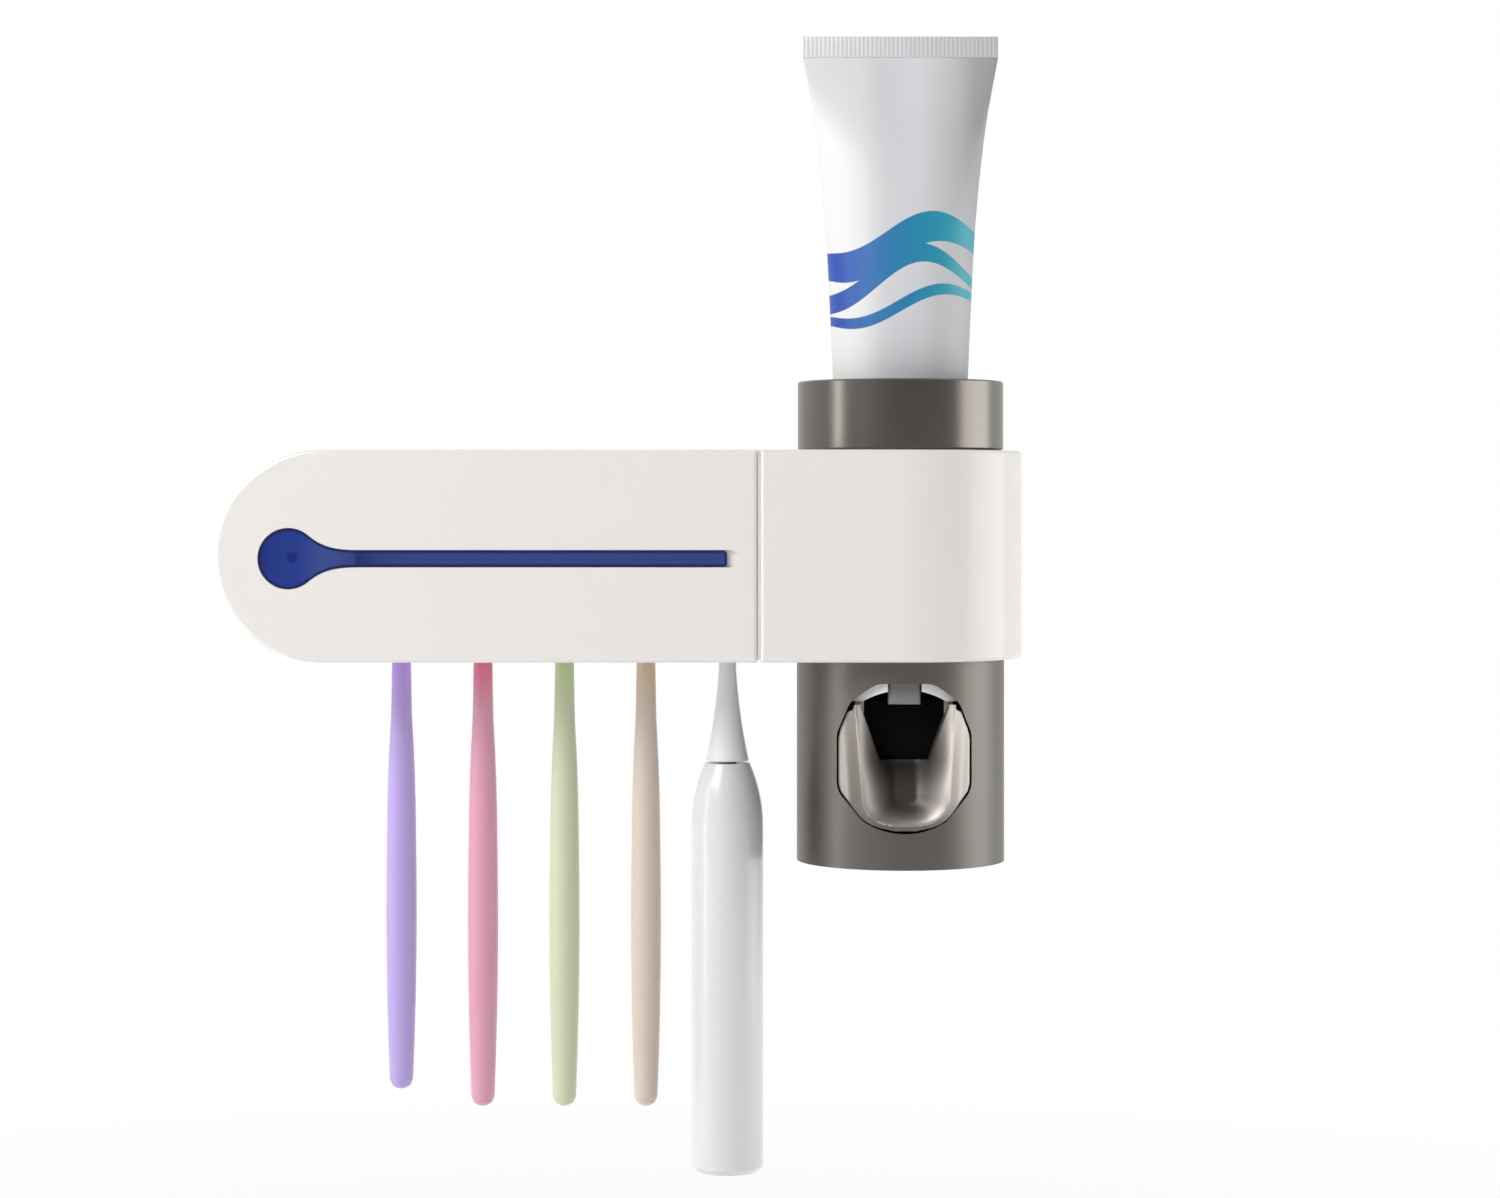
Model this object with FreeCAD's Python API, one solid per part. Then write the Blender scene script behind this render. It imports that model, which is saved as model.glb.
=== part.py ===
"""Wall-hung toothpaste dispenser with a lidded toothbrush chamber, loaded with a paste tube and five brushes.

Millimetres. X runs to the right along the wall, Y runs into the wall and Z runs up.
The origin is the centre of the wall plate's adhesive face, which lies on the wall.
"""

import FreeCAD
import Part
import math
import os

Vec = FreeCAD.Vector
AXIS_X = Vec(1, 0, 0)
AXIS_Y = Vec(0, 1, 0)
AXIS_Z = Vec(0, 0, 1)
FULL_TURN = 360.0

# General fits
overrun = 1.0               # how far a cutting tool runs past the face it cuts
seat_gap = 0.3              # rest gap between pieces that move on each other
fit_gap = 0.15              # gap round a piece that is pushed into its pocket
running_gap = 0.06          # radial play of a pin in its bearing
arc_dip_share = 1 - math.sqrt(1 / 2)    # how deep a quarter arc's middle lies, of its radius

# Case: one long body whose left end is round in front view and whose right end is round in plan
case_height = 66.2
case_wall = 2.4
case_edge_round = 1.2
rim_gap = 1.0               # wall to the rear rim of the case
left_reach = 124.8          # origin to the left end
seam_x = 43.3               # right edge of the lid
seam_gap = 1.1
chamber_wall_setback = 8.0  # back cover to the front face of the wall behind the lamp
chamber_wall = 2.0
cover_thickness = 2.4
cover_setback = 3.0         # rear rim to the rear face of the back cover

# Wall plate with its adhesive pad and two hooks
pad_thickness = 0.8
pad_inset = 1.5
plate_length = 112.0
plate_height = 34.0
plate_thickness = 2.4
plate_corner = 6.0
screw_inset = 11.0          # end of the plate to the screw hole's centre
screw_hole_radius = 2.2
hook_spacing = 60.0
hook_stem_width = 8.0
hook_height = 8.0
hook_head_width = 14.0
hook_head_thickness = 1.8
hang_lift = 12.0            # how far the case lifts before its slots clear the hooks

# Back cover screws
boss_radius = 3.6
boss_margin = 5.4           # boss centre to the edge of the case
module_boss_length = 14.0
cover_screw_radius = 1.2
cover_screw_length = 8.0
cover_screw_head_radius = 2.4
cover_screw_head_height = 1.4
screw_sink_gap = 0.2        # round a screw head in its sink

# Flip-up lid and its hinge
lid_wall = 2.2
hinge_radius = 3.0
hinge_setback = 12.8        # front face to the hinge axis
lid_lip = 2.7               # how far the lid's rim reaches behind the hinge axis
case_front_gap = 3.3        # hinge axis to the front edge of the chamber
hinge_end_margin = 1.5
knuckle_width = 8.0
knuckle_gap = 0.4
knuckle_clearance = 1.8     # radial room round a knuckle in the lid
knuckle_root = 6.0          # length of the knuckle's rib behind the chamber's edge
knuckle_inset = 24.0        # hinge end to the knuckle's middle
hinge_pin_radius = 1.0
hinge_pin_length = 22.0

# Light window in the lid: a round end that narrows into a long stem
window_eye_inset = 22.7     # left end to the eye's centre
window_eye_radius = 9.4
window_stem_height = 5.1
window_stem_inset = 9.3     # stem's end to the lid's right edge
window_groove_inset = 6.1
window_flare_length = 12.4  # eye centre to the start of the straight stem, less the eye's radius
window_drop = 0.8           # window centre below the case's middle
window_thickness = 1.1
window_recess = 1.4
window_ledge = 1.0
window_corner = 1.2
window_leave_angle = 50.0   # where the flare leaves the eye, above its middle

# Magnet catch
magnet_radius = 3.0
magnet_thickness = 2.0
magnet_boss_width = 8.0
magnet_boss_height = 7.0
magnet_boss_depth = 6.5
catch_thickness = 1.0
catch_width = 7.0
catch_height = 6.0
catch_post_depth = 2.4

# Brush rack with five front-open slots
slot_count = 5
slot_left_inset = 54.7      # left end to the first slot
slot_right_inset = 9.4      # last slot to the lid's right edge
slot_width = 7.8
rack_thickness = 3.0
rack_side_margin = 12.0     # outer slot to the rack's end
rack_rear_gap = 2.0         # rack to the guard grille
floor_ledge = 3.0           # width of the case floor that carries the rack
brush_setback = 12.2        # rack's rear edge to the brushes

# Lamp, reflector and guard grille
lamp_setback = 9.2          # chamber's rear wall to the lamp
lamp_z = -6.0
lamp_radius = 6.5
lamp_cap_length = 7.0
lamp_cap_lip = 0.5
lamp_left_inset = 38.8
holder_length = 8.0
holder_width = 18.0
holder_round = 4.5
holder_pin_radius = 1.2
holder_pin_length = 4.0
reflector_thickness = 0.8
reflector_height = 30.0
reflector_flange = 6.0
grille_setback = 19.2       # chamber's rear wall to the grille's front
grille_thickness = 1.8
grille_slot_width = 4.0
grille_slot_height = 38.0
grille_slot_count = 13
grille_margin = 14.0        # lamp's end to the outer grille slot
led_radius = 2.5
led_length = 4.0

# Control board, cell and charging port in the dispenser end of the case
board_offset = 1.6          # partition to the board
board_thickness = 1.6
board_depth = 44.0
board_height = 48.0
board_setback = 9.6         # back cover to the board
post_radius = 2.5
post_height_share = 1 / 3   # post above the board's middle, of its height
cell_thickness = 7.0
cell_depth = 34.0
cell_height = 24.0
cell_round = 1.75
chip_size = 8.0
chip_height = 1.4
chip_pitch = 12.0
coil_radius = 5.0
coil_height = 6.0
port_width = 8.9
port_thickness = 3.2
port_height = 8.0
port_wall = 0.5
port_tongue_share = 2 / 3   # width of the contact tongue, of the socket's
port_setback = 15.6

# Squeezer barrel: a wide lower drum under the case and a neck that runs up through it
shoulder_step = 4.8         # neck to the drum's side
barrel_wall = 2.2
barrel_bottom_z = -98.2
barrel_margin = 5.5         # drum to the front and to the round end of the case
barrel_rear_margin = 4.2    # drum to the rear rim of the case
shoulder_thickness = 2.6
neck_tube_room = 4.5        # round end of the paste tube to the neck's bore
neck_setback = 16.6         # module's left face to the neck
neck_wall = 2.5
neck_top_z = 50.0
neck_play = 0.25
socket_ledge = 4.0
socket_ledge_thickness = 3.0
lug_count = 3
lug_angle = 20.0
lug_height = 2.4
lug_reach = 1.8
lug_top_drop = 3.6          # neck top to the lug's top
base_thickness = 2.4
base_rim_height = 5.0
base_rim_wall = 1.6
base_inset = 0.4

# Collar that locks on the neck with a part turn
collar_reach = 4.5          # neck to the collar's side
collar_top_z = 55.4
collar_lip = 0.9            # how far the collar's mouth reaches in over the neck
collar_edge_chamfer = 0.5
collar_turn = 45.0
entry_angle = 26.0

# Window in the drum, in front view, as half widths and heights
mouth_inset = 12.1          # drum's side to the window's
mouth_top_z = -40.0
mouth_bottom_z = -86.8
mouth_corner_round = 7.5
mouth_top_half_share = 0.42
mouth_upper_half_share = 0.80
mouth_upper_drop_share = 0.12
mouth_side_top_share = 0.34
mouth_side_low_share = 0.72
mouth_lower_half_share = 0.62
mouth_lower_drop_share = 0.92

# Squeeze lever
lever_gap = 0.45
chin_gap = 0.9              # under the chin, which dips as it swings in
pivot_setback = 11.8        # drum's front to the pivot
pivot_z = -42.5
pivot_radius = 1.5
pivot_boss_radius = 3.2
lever_side_room = 5.6       # window's widest half to the lever's half at its top
chin_draw = 4.0             # how much narrower each side is at the chin
lever_chin_z = -82.2
lever_chin_round = 6.4
lever_top_z = -46.6
lever_bottom_z = -85.9
lever_crest_z = -77.0
lever_crest_reach = 4.6     # how far the chin stands in front of the drum
lever_brow_shares = ((0.25, -0.15), (0.70, 0.62))   # down to the crest, and out in front of the drum
lever_jaw_shares = (0.56, 0.70)     # down from the crest to the bottom edge, and out as above
push_plate_setback = 15.1   # drum's front to the rear face of the push plate
push_plate_thickness = 1.6
gate_rail = 3.2             # lever's side to the gate at its top
gate_draw = 4.6             # how much narrower each side of the gate is at its sill
gate_sill_z = -64.4
rail_round = 2.8
rail_width = 2.4
scoop_middle_rim = 2.2      # chin's side to the scoop's floor midway, and the floor's height there
scoop_middle_z = -76.6
scoop_lip_rim = 2.0         # the same at the lip
scoop_lip_z = -82.2
scoop_corner = 6.2
sill_corner = 1.2
wing_thickness = 1.8
wing_top_z = -48.5

# Pump frame, pump and nozzle
frame_thickness = 2.6
frame_lug_thickness = 2.3
apron_thickness = 1.5
apron_low_z = -46.1
apron_arch_z = -42.0
apron_arch_radius = 25.0
socket_height = 8.0
socket_collar_radius = 10.0
socket_collar_height = 8.0
duct_radius = 5.0
duct_bore = 3.0
pump_block_width = 18.0
pump_block_depth = 12.0
pump_block_height = 24.0
bellows_radius = 5.6
bellows_waist = 4.2
bellows_folds = 3
bellows_z = -55.0
pusher_radius = 8.4
pusher_flange = 2.0
pusher_nose_radius = 1.6
pusher_nose_half = 6.0
pusher_nose_reach = 2.9
spring_radius = 7.2
spring_wire_half = 0.4
spring_turns = 3
spring_steps = 16           # straight runs in one turn
nozzle_width = 10.0
nozzle_depth = 8.6
nozzle_drop = 7.8
nozzle_arm_height = 4.2
nozzle_bore = 2.4
nozzle_front_gap = 2.2
nozzle_round = 1.25
nozzle_arm_share = 0.8      # width of the arm, of the tip's

# Paste tube, upside down: flat crimp on top, round shoulder and neck below
tube_crimp_top_z = 166.6
tube_crimp_height = 6.8
tube_crimp_thickness = 1.3
tube_flat_width = 63.0
tube_round_share = 0.683    # width of the round end, of the flat one
tube_shoulder_z = 14.0
tube_shoulder_height = 6.0
tube_neck_radius = 6.5
tube_neck_length = 11.0
tube_neck_shoulder_share = 0.42
tube_neck_oval_share = 0.99  # depth of the shoulder's foot, of its width
tube_flank_shares = (       # of the way down, and of the narrowing by then
    (0.0, 0.0), (0.063, 0.175), (0.125, 0.34), (0.19, 0.475), (0.28, 0.62), (0.373, 0.74), (0.465, 0.82),
    (0.56, 0.885), (0.71, 0.98), (1.0, 1.0),
)

# Manual toothbrushes
brush_tip_z = -175.6
handle_width = 9.5
tip_share = 0.39            # radius of the handle's tip, of its width
brush_tip_shares = ((0.38, 0.0), (0.78, 0.24), (1.0, 0.76))     # out and up, of the tip's radius
brush_profile_shares = (    # along the length from the tip, and half width, of the handle's width
    (0.28, 0.498), (0.56, 0.485), (0.69, 0.445), (0.81, 0.355), (0.90, 0.325), (0.99, 0.31),
)
first_brush_rise = 5.5      # how much shorter the first brush hangs
head_width = 11.4
head_thickness = 4.4
head_length = 28.0
head_foot_round = 1.6
head_top_round = 4.6
head_edge_chamfer = 0.7
neck_overlap = 3.0          # how far the neck runs into the head
tuft_rows = 7
tuft_columns = 3
tuft_width = 2.3
tuft_height = 2.2
tuft_length = 10.0
tuft_pad = 0.6
tuft_pitch_x = 2.9
tuft_pitch_z = 3.1

# Electric toothbrush
power_handle_radius = 11.4
power_bottom_z = -196.3
power_shoulder_z = -84.5
power_seam_z = -65.6
power_seam_radius = 7.1
power_seam_gap = 0.8
power_bottom_bevel = 1.6
power_neck_radius = 2.8
power_neck_z = -37.0
power_cone_share = 0.96     # cone at the seam, of the handle's radius there
power_shoulder_share = 0.30  # narrowing of the handle half-way up its shoulder
power_waist_share = 0.36    # cone above the neck's radius half-way up
power_head_width = 11.0
power_head_length = 24.0
power_tuft_rows = 6


# Positions that follow from the sizes
case_half = case_height / 2
screw_spacing = plate_length - 2 * screw_inset
tube_round_width = tube_flat_width * tube_round_share
neck_bore = tube_round_width / 2 + neck_tube_room
neck_radius = neck_bore + neck_wall
barrel_radius = neck_radius + shoulder_step
case_depth = barrel_margin + 2 * barrel_radius + barrel_rear_margin
front_y = -(rim_gap + case_depth)
end_radius = barrel_radius + barrel_margin
barrel_y = front_y + end_radius
module_x = seam_x + seam_gap
barrel_x = module_x + neck_setback + neck_radius
right_x = barrel_x + end_radius
hinge_y = front_y + hinge_setback
hinge_z = case_half - hinge_radius
lid_rear_y = hinge_y + lid_lip
chamber_front_y = hinge_y + case_front_gap
floor_z = -case_half + case_wall
rack_top_z = floor_z + rack_thickness
cover_rear_y = -(rim_gap + cover_setback)
cover_front_y = cover_rear_y - cover_thickness
hinge_left_x = -left_reach + case_half + hinge_end_margin
hinge_right_x = seam_x
knuckle_xs = (hinge_left_x + knuckle_inset, hinge_right_x - knuckle_inset)
first_slot_x = -left_reach + slot_left_inset
slot_pitch = (seam_x - slot_right_inset - first_slot_x) / (slot_count - 1)
slot_xs = [first_slot_x + n * slot_pitch for n in range(slot_count)]
window_eye_x = -left_reach + window_eye_inset
window_stem_end = seam_x - window_stem_inset
window_groove_end = seam_x - window_groove_inset
chamber_wall_y = cover_front_y - chamber_wall_setback
lamp_y = chamber_wall_y - lamp_setback
lamp_left_x = -left_reach + lamp_left_inset
lamp_right_x = module_x - holder_length
grille_y = chamber_wall_y - grille_setback
grille_first_x = lamp_left_x + grille_margin
grille_pitch = (lamp_right_x - grille_margin - grille_first_x) / (grille_slot_count - 1)
rack_rear_y = grille_y - rack_rear_gap
brush_y = rack_rear_y - brush_setback
board_rear_y = cover_front_y - board_setback
port_y = cover_front_y - port_setback
brush_xs = slot_xs[:-1]
power_x = slot_xs[-1]
catch_xs = (
    (slot_xs[0] + slot_xs[1]) / 2,
    (slot_xs[-2] + slot_xs[-1]) / 2,
)
window_z = -window_drop
barrel_bore = barrel_radius - barrel_wall
collar_radius = neck_radius + collar_reach
collar_mouth_radius = neck_radius - collar_lip
drum_top_z = -case_half - seat_gap
shoulder_low_z = drum_top_z - shoulder_thickness
frame_top_z = shoulder_low_z - fit_gap
frame_low_z = frame_top_z - frame_thickness
drum_front_y = barrel_y - barrel_radius
pivot_y = drum_front_y + pivot_setback
mouth_half_width = barrel_radius - mouth_inset
lever_top_half = mouth_half_width - lever_side_room
lever_chin_half = lever_top_half - chin_draw
gate_top_half = lever_top_half - gate_rail
gate_bottom_half = gate_top_half - gate_draw
scoop_middle_half = lever_chin_half - scoop_middle_rim
scoop_lip_half = lever_chin_half - scoop_lip_rim
tube_bottom_z = tube_shoulder_z - tube_shoulder_height - tube_neck_length
socket_top_z = tube_bottom_z + tube_neck_length - socket_collar_height
socket_low_z = socket_top_z - socket_height
push_rear_y = drum_front_y + push_plate_setback
push_front_y = push_rear_y - push_plate_thickness
pusher_front_y = push_rear_y + seat_gap
flange_y = pusher_front_y + pusher_nose_reach
bellows_front_y = flange_y + pusher_flange
pump_front_y = barrel_y - pump_block_depth / 2


def box(x0, x1, y0, y1, z0, z1):
    """Box between two corners."""
    return Part.makeBox(x1 - x0, y1 - y0, z1 - z0, Vec(x0, y0, z0))


def rod(radius, start, end):
    """Round bar from one point to another."""
    return Part.makeCylinder(radius, (end - start).Length, start, end - start)


def prism(points, direction):
    """Flat polygon extruded along a direction."""
    return Part.Face(Part.makePolygon(points + points[:1])).extrude(direction)


def fused(shapes):
    """Union of several shapes as one clean solid."""
    return shapes[0].multiFuse(shapes[1:]).removeSplitter()


def capsule_end(x0, x1, half, y0, y1):
    """Prism whose outline in front view has a round left end and a square right end."""
    low = Vec(x0 + half, y0, -half)
    high = Vec(x0 + half, y0, half)
    outline = Part.Wire([
        Part.LineSegment(Vec(x1, y0, -half), low).toShape(),
        Part.Arc(low, Vec(x0, y0, 0), high).toShape(),
        Part.LineSegment(high, Vec(x1, y0, half)).toShape(),
        Part.LineSegment(Vec(x1, y0, half), Vec(x1, y0, -half)).toShape(),
    ])
    return Part.Face(outline).extrude(Vec(0, y1 - y0, 0))


def rounded_plan(x0, x1, y0, y1, radius, z0, z1):
    """Prism whose outline in plan has its front right corner rounded."""
    turn = radius * arc_dip_share
    outline = Part.Wire([
        Part.LineSegment(Vec(x0, y1, z0), Vec(x0, y0, z0)).toShape(),
        Part.LineSegment(Vec(x0, y0, z0), Vec(x1 - radius, y0, z0)).toShape(),
        Part.Arc(
            Vec(x1 - radius, y0, z0), Vec(x1 - turn, y0 + turn, z0), Vec(x1, y0 + radius, z0)
        ).toShape(),
        Part.LineSegment(Vec(x1, y0 + radius, z0), Vec(x1, y1, z0)).toShape(),
        Part.LineSegment(Vec(x1, y1, z0), Vec(x0, y1, z0)).toShape(),
    ])
    return Part.Face(outline).extrude(Vec(0, 0, z1 - z0))


def rounded_plate(length, height, corner, y0, y1):
    """Plate in the wall's plane, centred on the origin, with rounded corners."""
    plate = box(-length / 2, length / 2, y0, y1, -height / 2, height / 2)
    upright = [e for e in plate.Edges if abs(e.Vertexes[0].Y - e.Vertexes[-1].Y) > abs(y1 - y0) / 2]
    return plate.makeFillet(corner, upright)


def ring(outer, inner, z0, z1):
    """Ring about the barrel's axis."""
    foot = Vec(barrel_x, barrel_y, z0)
    cut = Vec(barrel_x, barrel_y, z0 - overrun)
    body = Part.makeCylinder(outer, z1 - z0, foot)
    return body.cut(Part.makeCylinder(inner, z1 - z0 + 2 * overrun, cut))


def drum(radius, z0, z1):
    """Solid cylinder about the barrel's axis."""
    return Part.makeCylinder(radius, z1 - z0, Vec(barrel_x, barrel_y, z0))


def sector(outer, inner, z0, z1, middle, width):
    """Part of a ring about the barrel's axis, between two angles in plan."""
    start = middle - width / 2
    blank = Part.makeCylinder(outer, z1 - z0, Vec(barrel_x, barrel_y, z0), AXIS_Z, width)
    core = drum(inner, z0 - overrun, z1 + overrun)
    piece = blank.cut(core)
    piece.rotate(Vec(barrel_x, barrel_y, z0), AXIS_Z, start)
    return piece


def front_rounded(shape, radius, x_min, planes):
    """Rounds the edges that lie on the front face or on the given heights, right of x_min."""
    chosen = []
    for edge in shape.Edges:
        mid = edge.CenterOfMass
        on_front = all(abs(v.Y - front_y) < fit_gap for v in edge.Vertexes)
        on_plane = any(all(abs(v.Z - z) < fit_gap for v in edge.Vertexes) for z in planes)
        at_rear = abs(mid.y + rim_gap) < fit_gap
        if (on_front or (on_plane and mid.x > x_min)) and not at_rear:
            chosen.append(edge)
    return shape.makeFillet(radius, chosen)


def knuckle(x, radius, width):
    """Hinge knuckle about the lid's hinge axis."""
    return rod(radius, Vec(x - width / 2, hinge_y, hinge_z), Vec(x + width / 2, hinge_y, hinge_z))


def boss_places():
    """Centres of the back cover's screw bosses, in front view."""
    high = case_half - boss_margin
    left = -left_reach + case_half
    right = right_x - boss_margin
    middle = (left + module_x) / 2
    return [(x, side * high) for x in (left, middle, right) for side in (-1, 1)]


def case_shell():
    """White case: brush chamber on the left, barrel carrier on the right, open at the rear."""
    chamber = capsule_end(-left_reach, module_x + case_wall, case_half, chamber_front_y, -rim_gap)
    carrier = rounded_plan(module_x, right_x, front_y, -rim_gap, end_radius, -case_half, case_half)
    carrier = front_rounded(carrier, case_edge_round, module_x + overrun, (-case_half, case_half))
    shell = chamber.fuse(carrier)

    inner_half = case_half - case_wall
    inner_left = -left_reach + case_wall
    wall_rear_y = chamber_wall_y + chamber_wall
    shell = shell.cut(
        capsule_end(inner_left, module_x, inner_half, chamber_front_y - overrun, chamber_wall_y)
    )
    shell = shell.cut(capsule_end(inner_left, module_x, inner_half, wall_rear_y, overrun))
    shell = shell.cut(
        rounded_plan(
            module_x + case_wall, right_x - case_wall, front_y + case_wall, overrun,
            end_radius - case_wall, -inner_half, inner_half,
        )
    )
    # The back cover runs past the partition, so the partition stops at it
    shell = shell.cut(box(inner_left + case_half, module_x + 2 * case_wall, cover_front_y, overrun,
                          -inner_half, inner_half))

    bosses = []
    for x, z in boss_places():
        depth = module_boss_length if x > module_x else cover_front_y - wall_rear_y
        bosses.append(rod(boss_radius, Vec(x, cover_front_y - depth, z), Vec(x, cover_front_y, z)))
    x_post = module_x + case_wall
    post_inset = 2 * post_radius
    post_z = board_height * post_height_share
    for y in (board_rear_y - post_inset, board_rear_y - board_depth + post_inset):
        for z in (-post_z, post_z):
            bosses.append(rod(post_radius, Vec(x_post - overrun, y, z), Vec(x_post + board_offset, y, z)))
    for x in knuckle_xs:
        rear_y = chamber_front_y + knuckle_root
        arm = box(x - knuckle_width / 2, x + knuckle_width / 2, hinge_y, rear_y,
                  hinge_z - hinge_radius, hinge_z + hinge_radius)
        bosses += [arm, knuckle(x, hinge_radius, knuckle_width)]
    shell = shell.multiFuse(bosses)

    for x, z in boss_places():
        shell = shell.cut(rod(cover_screw_radius, Vec(x, cover_rear_y - cover_screw_length, z),
                              Vec(x, cover_rear_y, z)))
    for x in knuckle_xs:
        shell = shell.cut(knuckle(x, hinge_pin_radius + running_gap, knuckle_width + 2 * overrun))
    hole = drum(neck_radius + neck_play, -case_half - overrun, case_half + overrun)
    shell = shell.cut(hole)
    mouth = slot_width / 2 + floor_ledge
    shell = shell.cut(box(slot_xs[0] - mouth, slot_xs[-1] + mouth, chamber_front_y - overrun,
                          brush_y + mouth, -case_half - overrun, floor_z + overrun))
    wire_hole = rod(holder_pin_radius * 2, Vec(module_x - overrun, lamp_y, lamp_z),
                    Vec(module_x + case_wall + overrun, lamp_y, lamp_z))
    return shell.cut(wire_hole).cut(port_opening()).removeSplitter()


def port_middle_x():
    """Middle of the charging port, which stands on the board's right face."""
    return module_x + case_wall + board_offset + board_thickness + port_thickness / 2


def port_profile(width, thickness, z0, z1):
    """Upright prism with round ends, as a charging port has in plan."""
    x = port_middle_x()
    straight = (width - thickness) / 2
    middle = box(x - thickness / 2, x + thickness / 2, port_y - straight, port_y + straight, z0, z1)
    ends = [rod(thickness / 2, Vec(x, port_y + side * straight, z0), Vec(x, port_y + side * straight, z1))
            for side in (-1, 1)]
    return fused([middle] + ends)


def port_opening():
    """Hole in the case floor for the charging port."""
    return port_profile(port_width + 2 * fit_gap, port_thickness + 2 * fit_gap,
                        -case_half - overrun, floor_z + overrun)


def back_cover():
    """Rear cover with keyhole slots for the wall plate's hooks."""
    inset = case_wall + fit_gap
    cover = capsule_end(-left_reach + inset, right_x - inset, case_half - inset, cover_front_y, cover_rear_y)
    for side in (-1, 1):
        x = side * hook_spacing / 2
        stem_half = hook_stem_width / 2 + seat_gap
        head_half = hook_head_width / 2 + 2 * seat_gap
        top = hook_height / 2 + seat_gap
        entry_top = hook_height / 2 + 2 * seat_gap - hang_lift
        entry_low = -hook_height / 2 - 2 * seat_gap - hang_lift
        cover = cover.cut(box(x - stem_half, x + stem_half, cover_front_y - overrun,
                              cover_rear_y + overrun, entry_low, top))
        cover = cover.cut(box(x - head_half, x + head_half, cover_front_y - overrun,
                              cover_rear_y + overrun, entry_low, entry_top))
    for x, z in boss_places():
        cover = cover.cut(rod(cover_screw_radius, Vec(x, cover_front_y - overrun, z),
                              Vec(x, cover_rear_y + overrun, z)))
        seat_y = cover_rear_y - cover_screw_head_height
        cover = cover.cut(rod(cover_screw_head_radius + screw_sink_gap, Vec(x, seat_y, z),
                              Vec(x, cover_rear_y + overrun, z)))
    return cover


def back_cover_screws():
    """Six pan-head screws that hold the back cover, their heads sunk in it."""
    screws = []
    for x, z in boss_places():
        rear = Vec(x, cover_rear_y, z)
        seat = rear - AXIS_Y * cover_screw_head_height
        shank = rod(cover_screw_radius, rear - AXIS_Y * cover_screw_length, seat)
        screws.append(fused([shank, rod(cover_screw_head_radius, seat, rear)]))
    return Part.makeCompound(screws)


def screw_holes(y0, y1):
    """The two wall screw holes as tools."""
    return [rod(screw_hole_radius, Vec(side * screw_spacing / 2, y0, 0), Vec(side * screw_spacing / 2, y1, 0))
            for side in (-1, 1)]


def wall_plate():
    """Plate with two T-shaped hooks, which stays on the wall."""
    rear_y = -pad_thickness
    plate_front_y = rear_y - plate_thickness
    pieces = [rounded_plate(plate_length, plate_height, plate_corner, plate_front_y, rear_y)]
    head_y = cover_front_y - seat_gap
    for side in (-1, 1):
        x = side * hook_spacing / 2
        pieces.append(box(x - hook_stem_width / 2, x + hook_stem_width / 2, head_y - hook_head_thickness,
                          plate_front_y, -hook_height / 2, hook_height / 2))
        pieces.append(box(x - hook_head_width / 2, x + hook_head_width / 2, head_y - hook_head_thickness,
                          head_y, -hook_height / 2, hook_height / 2))
    plate = fused(pieces)
    for hole in screw_holes(plate_front_y - overrun, overrun):
        plate = plate.cut(hole)
    return plate


def adhesive_pad():
    """Foam pad that bonds the plate to the wall."""
    pad = rounded_plate(plate_length - 2 * pad_inset, plate_height - 2 * pad_inset,
                        plate_corner - pad_inset, -pad_thickness, 0)
    for hole in screw_holes(-pad_thickness - overrun, overrun):
        pad = pad.cut(hole)
    return pad


def window_outline(offset, right_x_end, y, round_end):
    """Closed outline of the light window: round eye, flared neck and long stem."""
    radius = window_eye_radius + offset
    stem = window_stem_height / 2 + offset
    leave = math.radians(window_leave_angle)
    eye_x = window_eye_x + radius * math.cos(leave)
    eye_z = radius * math.sin(leave)
    flare_x = window_eye_x + window_eye_radius + window_flare_length
    slope = Vec(math.sin(leave), 0, -math.cos(leave))
    reach = (flare_x - eye_x) / 2
    end = right_x_end + offset

    def place(x, z):
        return Vec(x, y, window_z + z)

    def flare(side):
        """Cubic curve that leaves the eye along its tangent and meets the stem level."""
        start = place(eye_x, side * eye_z)
        pull = start + Vec(slope.x, 0, side * slope.z) * reach * (1 - 1 / math.pi)
        curve = Part.BezierCurve()
        curve.setPoles([start, pull, place(flare_x - reach, side * stem), place(flare_x, side * stem)])
        return curve.toShape()

    edges = [
        Part.Arc(place(eye_x, -eye_z), place(window_eye_x - radius, 0), place(eye_x, eye_z)).toShape(),
        flare(1),
    ]
    corner = stem if round_end else window_corner
    edges.append(Part.LineSegment(place(flare_x, stem), place(end - corner, stem)).toShape())
    dip = corner * arc_dip_share
    if round_end:
        edges.append(Part.Arc(place(end - corner, stem), place(end, 0), place(end - corner, -stem)).toShape())
    else:
        edges.append(Part.Arc(place(end - corner, stem), place(end - dip, stem - dip),
                              place(end, stem - corner)).toShape())
        edges.append(Part.LineSegment(place(end, stem - corner), place(end, corner - stem)).toShape())
        edges.append(Part.Arc(place(end, corner - stem), place(end - dip, dip - stem),
                              place(end - corner, -stem)).toShape())
    edges.append(Part.LineSegment(place(end - corner, -stem), place(flare_x, -stem)).toShape())
    edges.append(flare(-1))
    return Part.Wire(Part.__sortEdges__(edges))


def window_prism(offset, right_x_end, y0, y1, round_end=False):
    """The light window's outline as a prism between two depths."""
    return Part.Face(window_outline(offset, right_x_end, y0, round_end)).extrude(Vec(0, y1 - y0, 0))


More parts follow.
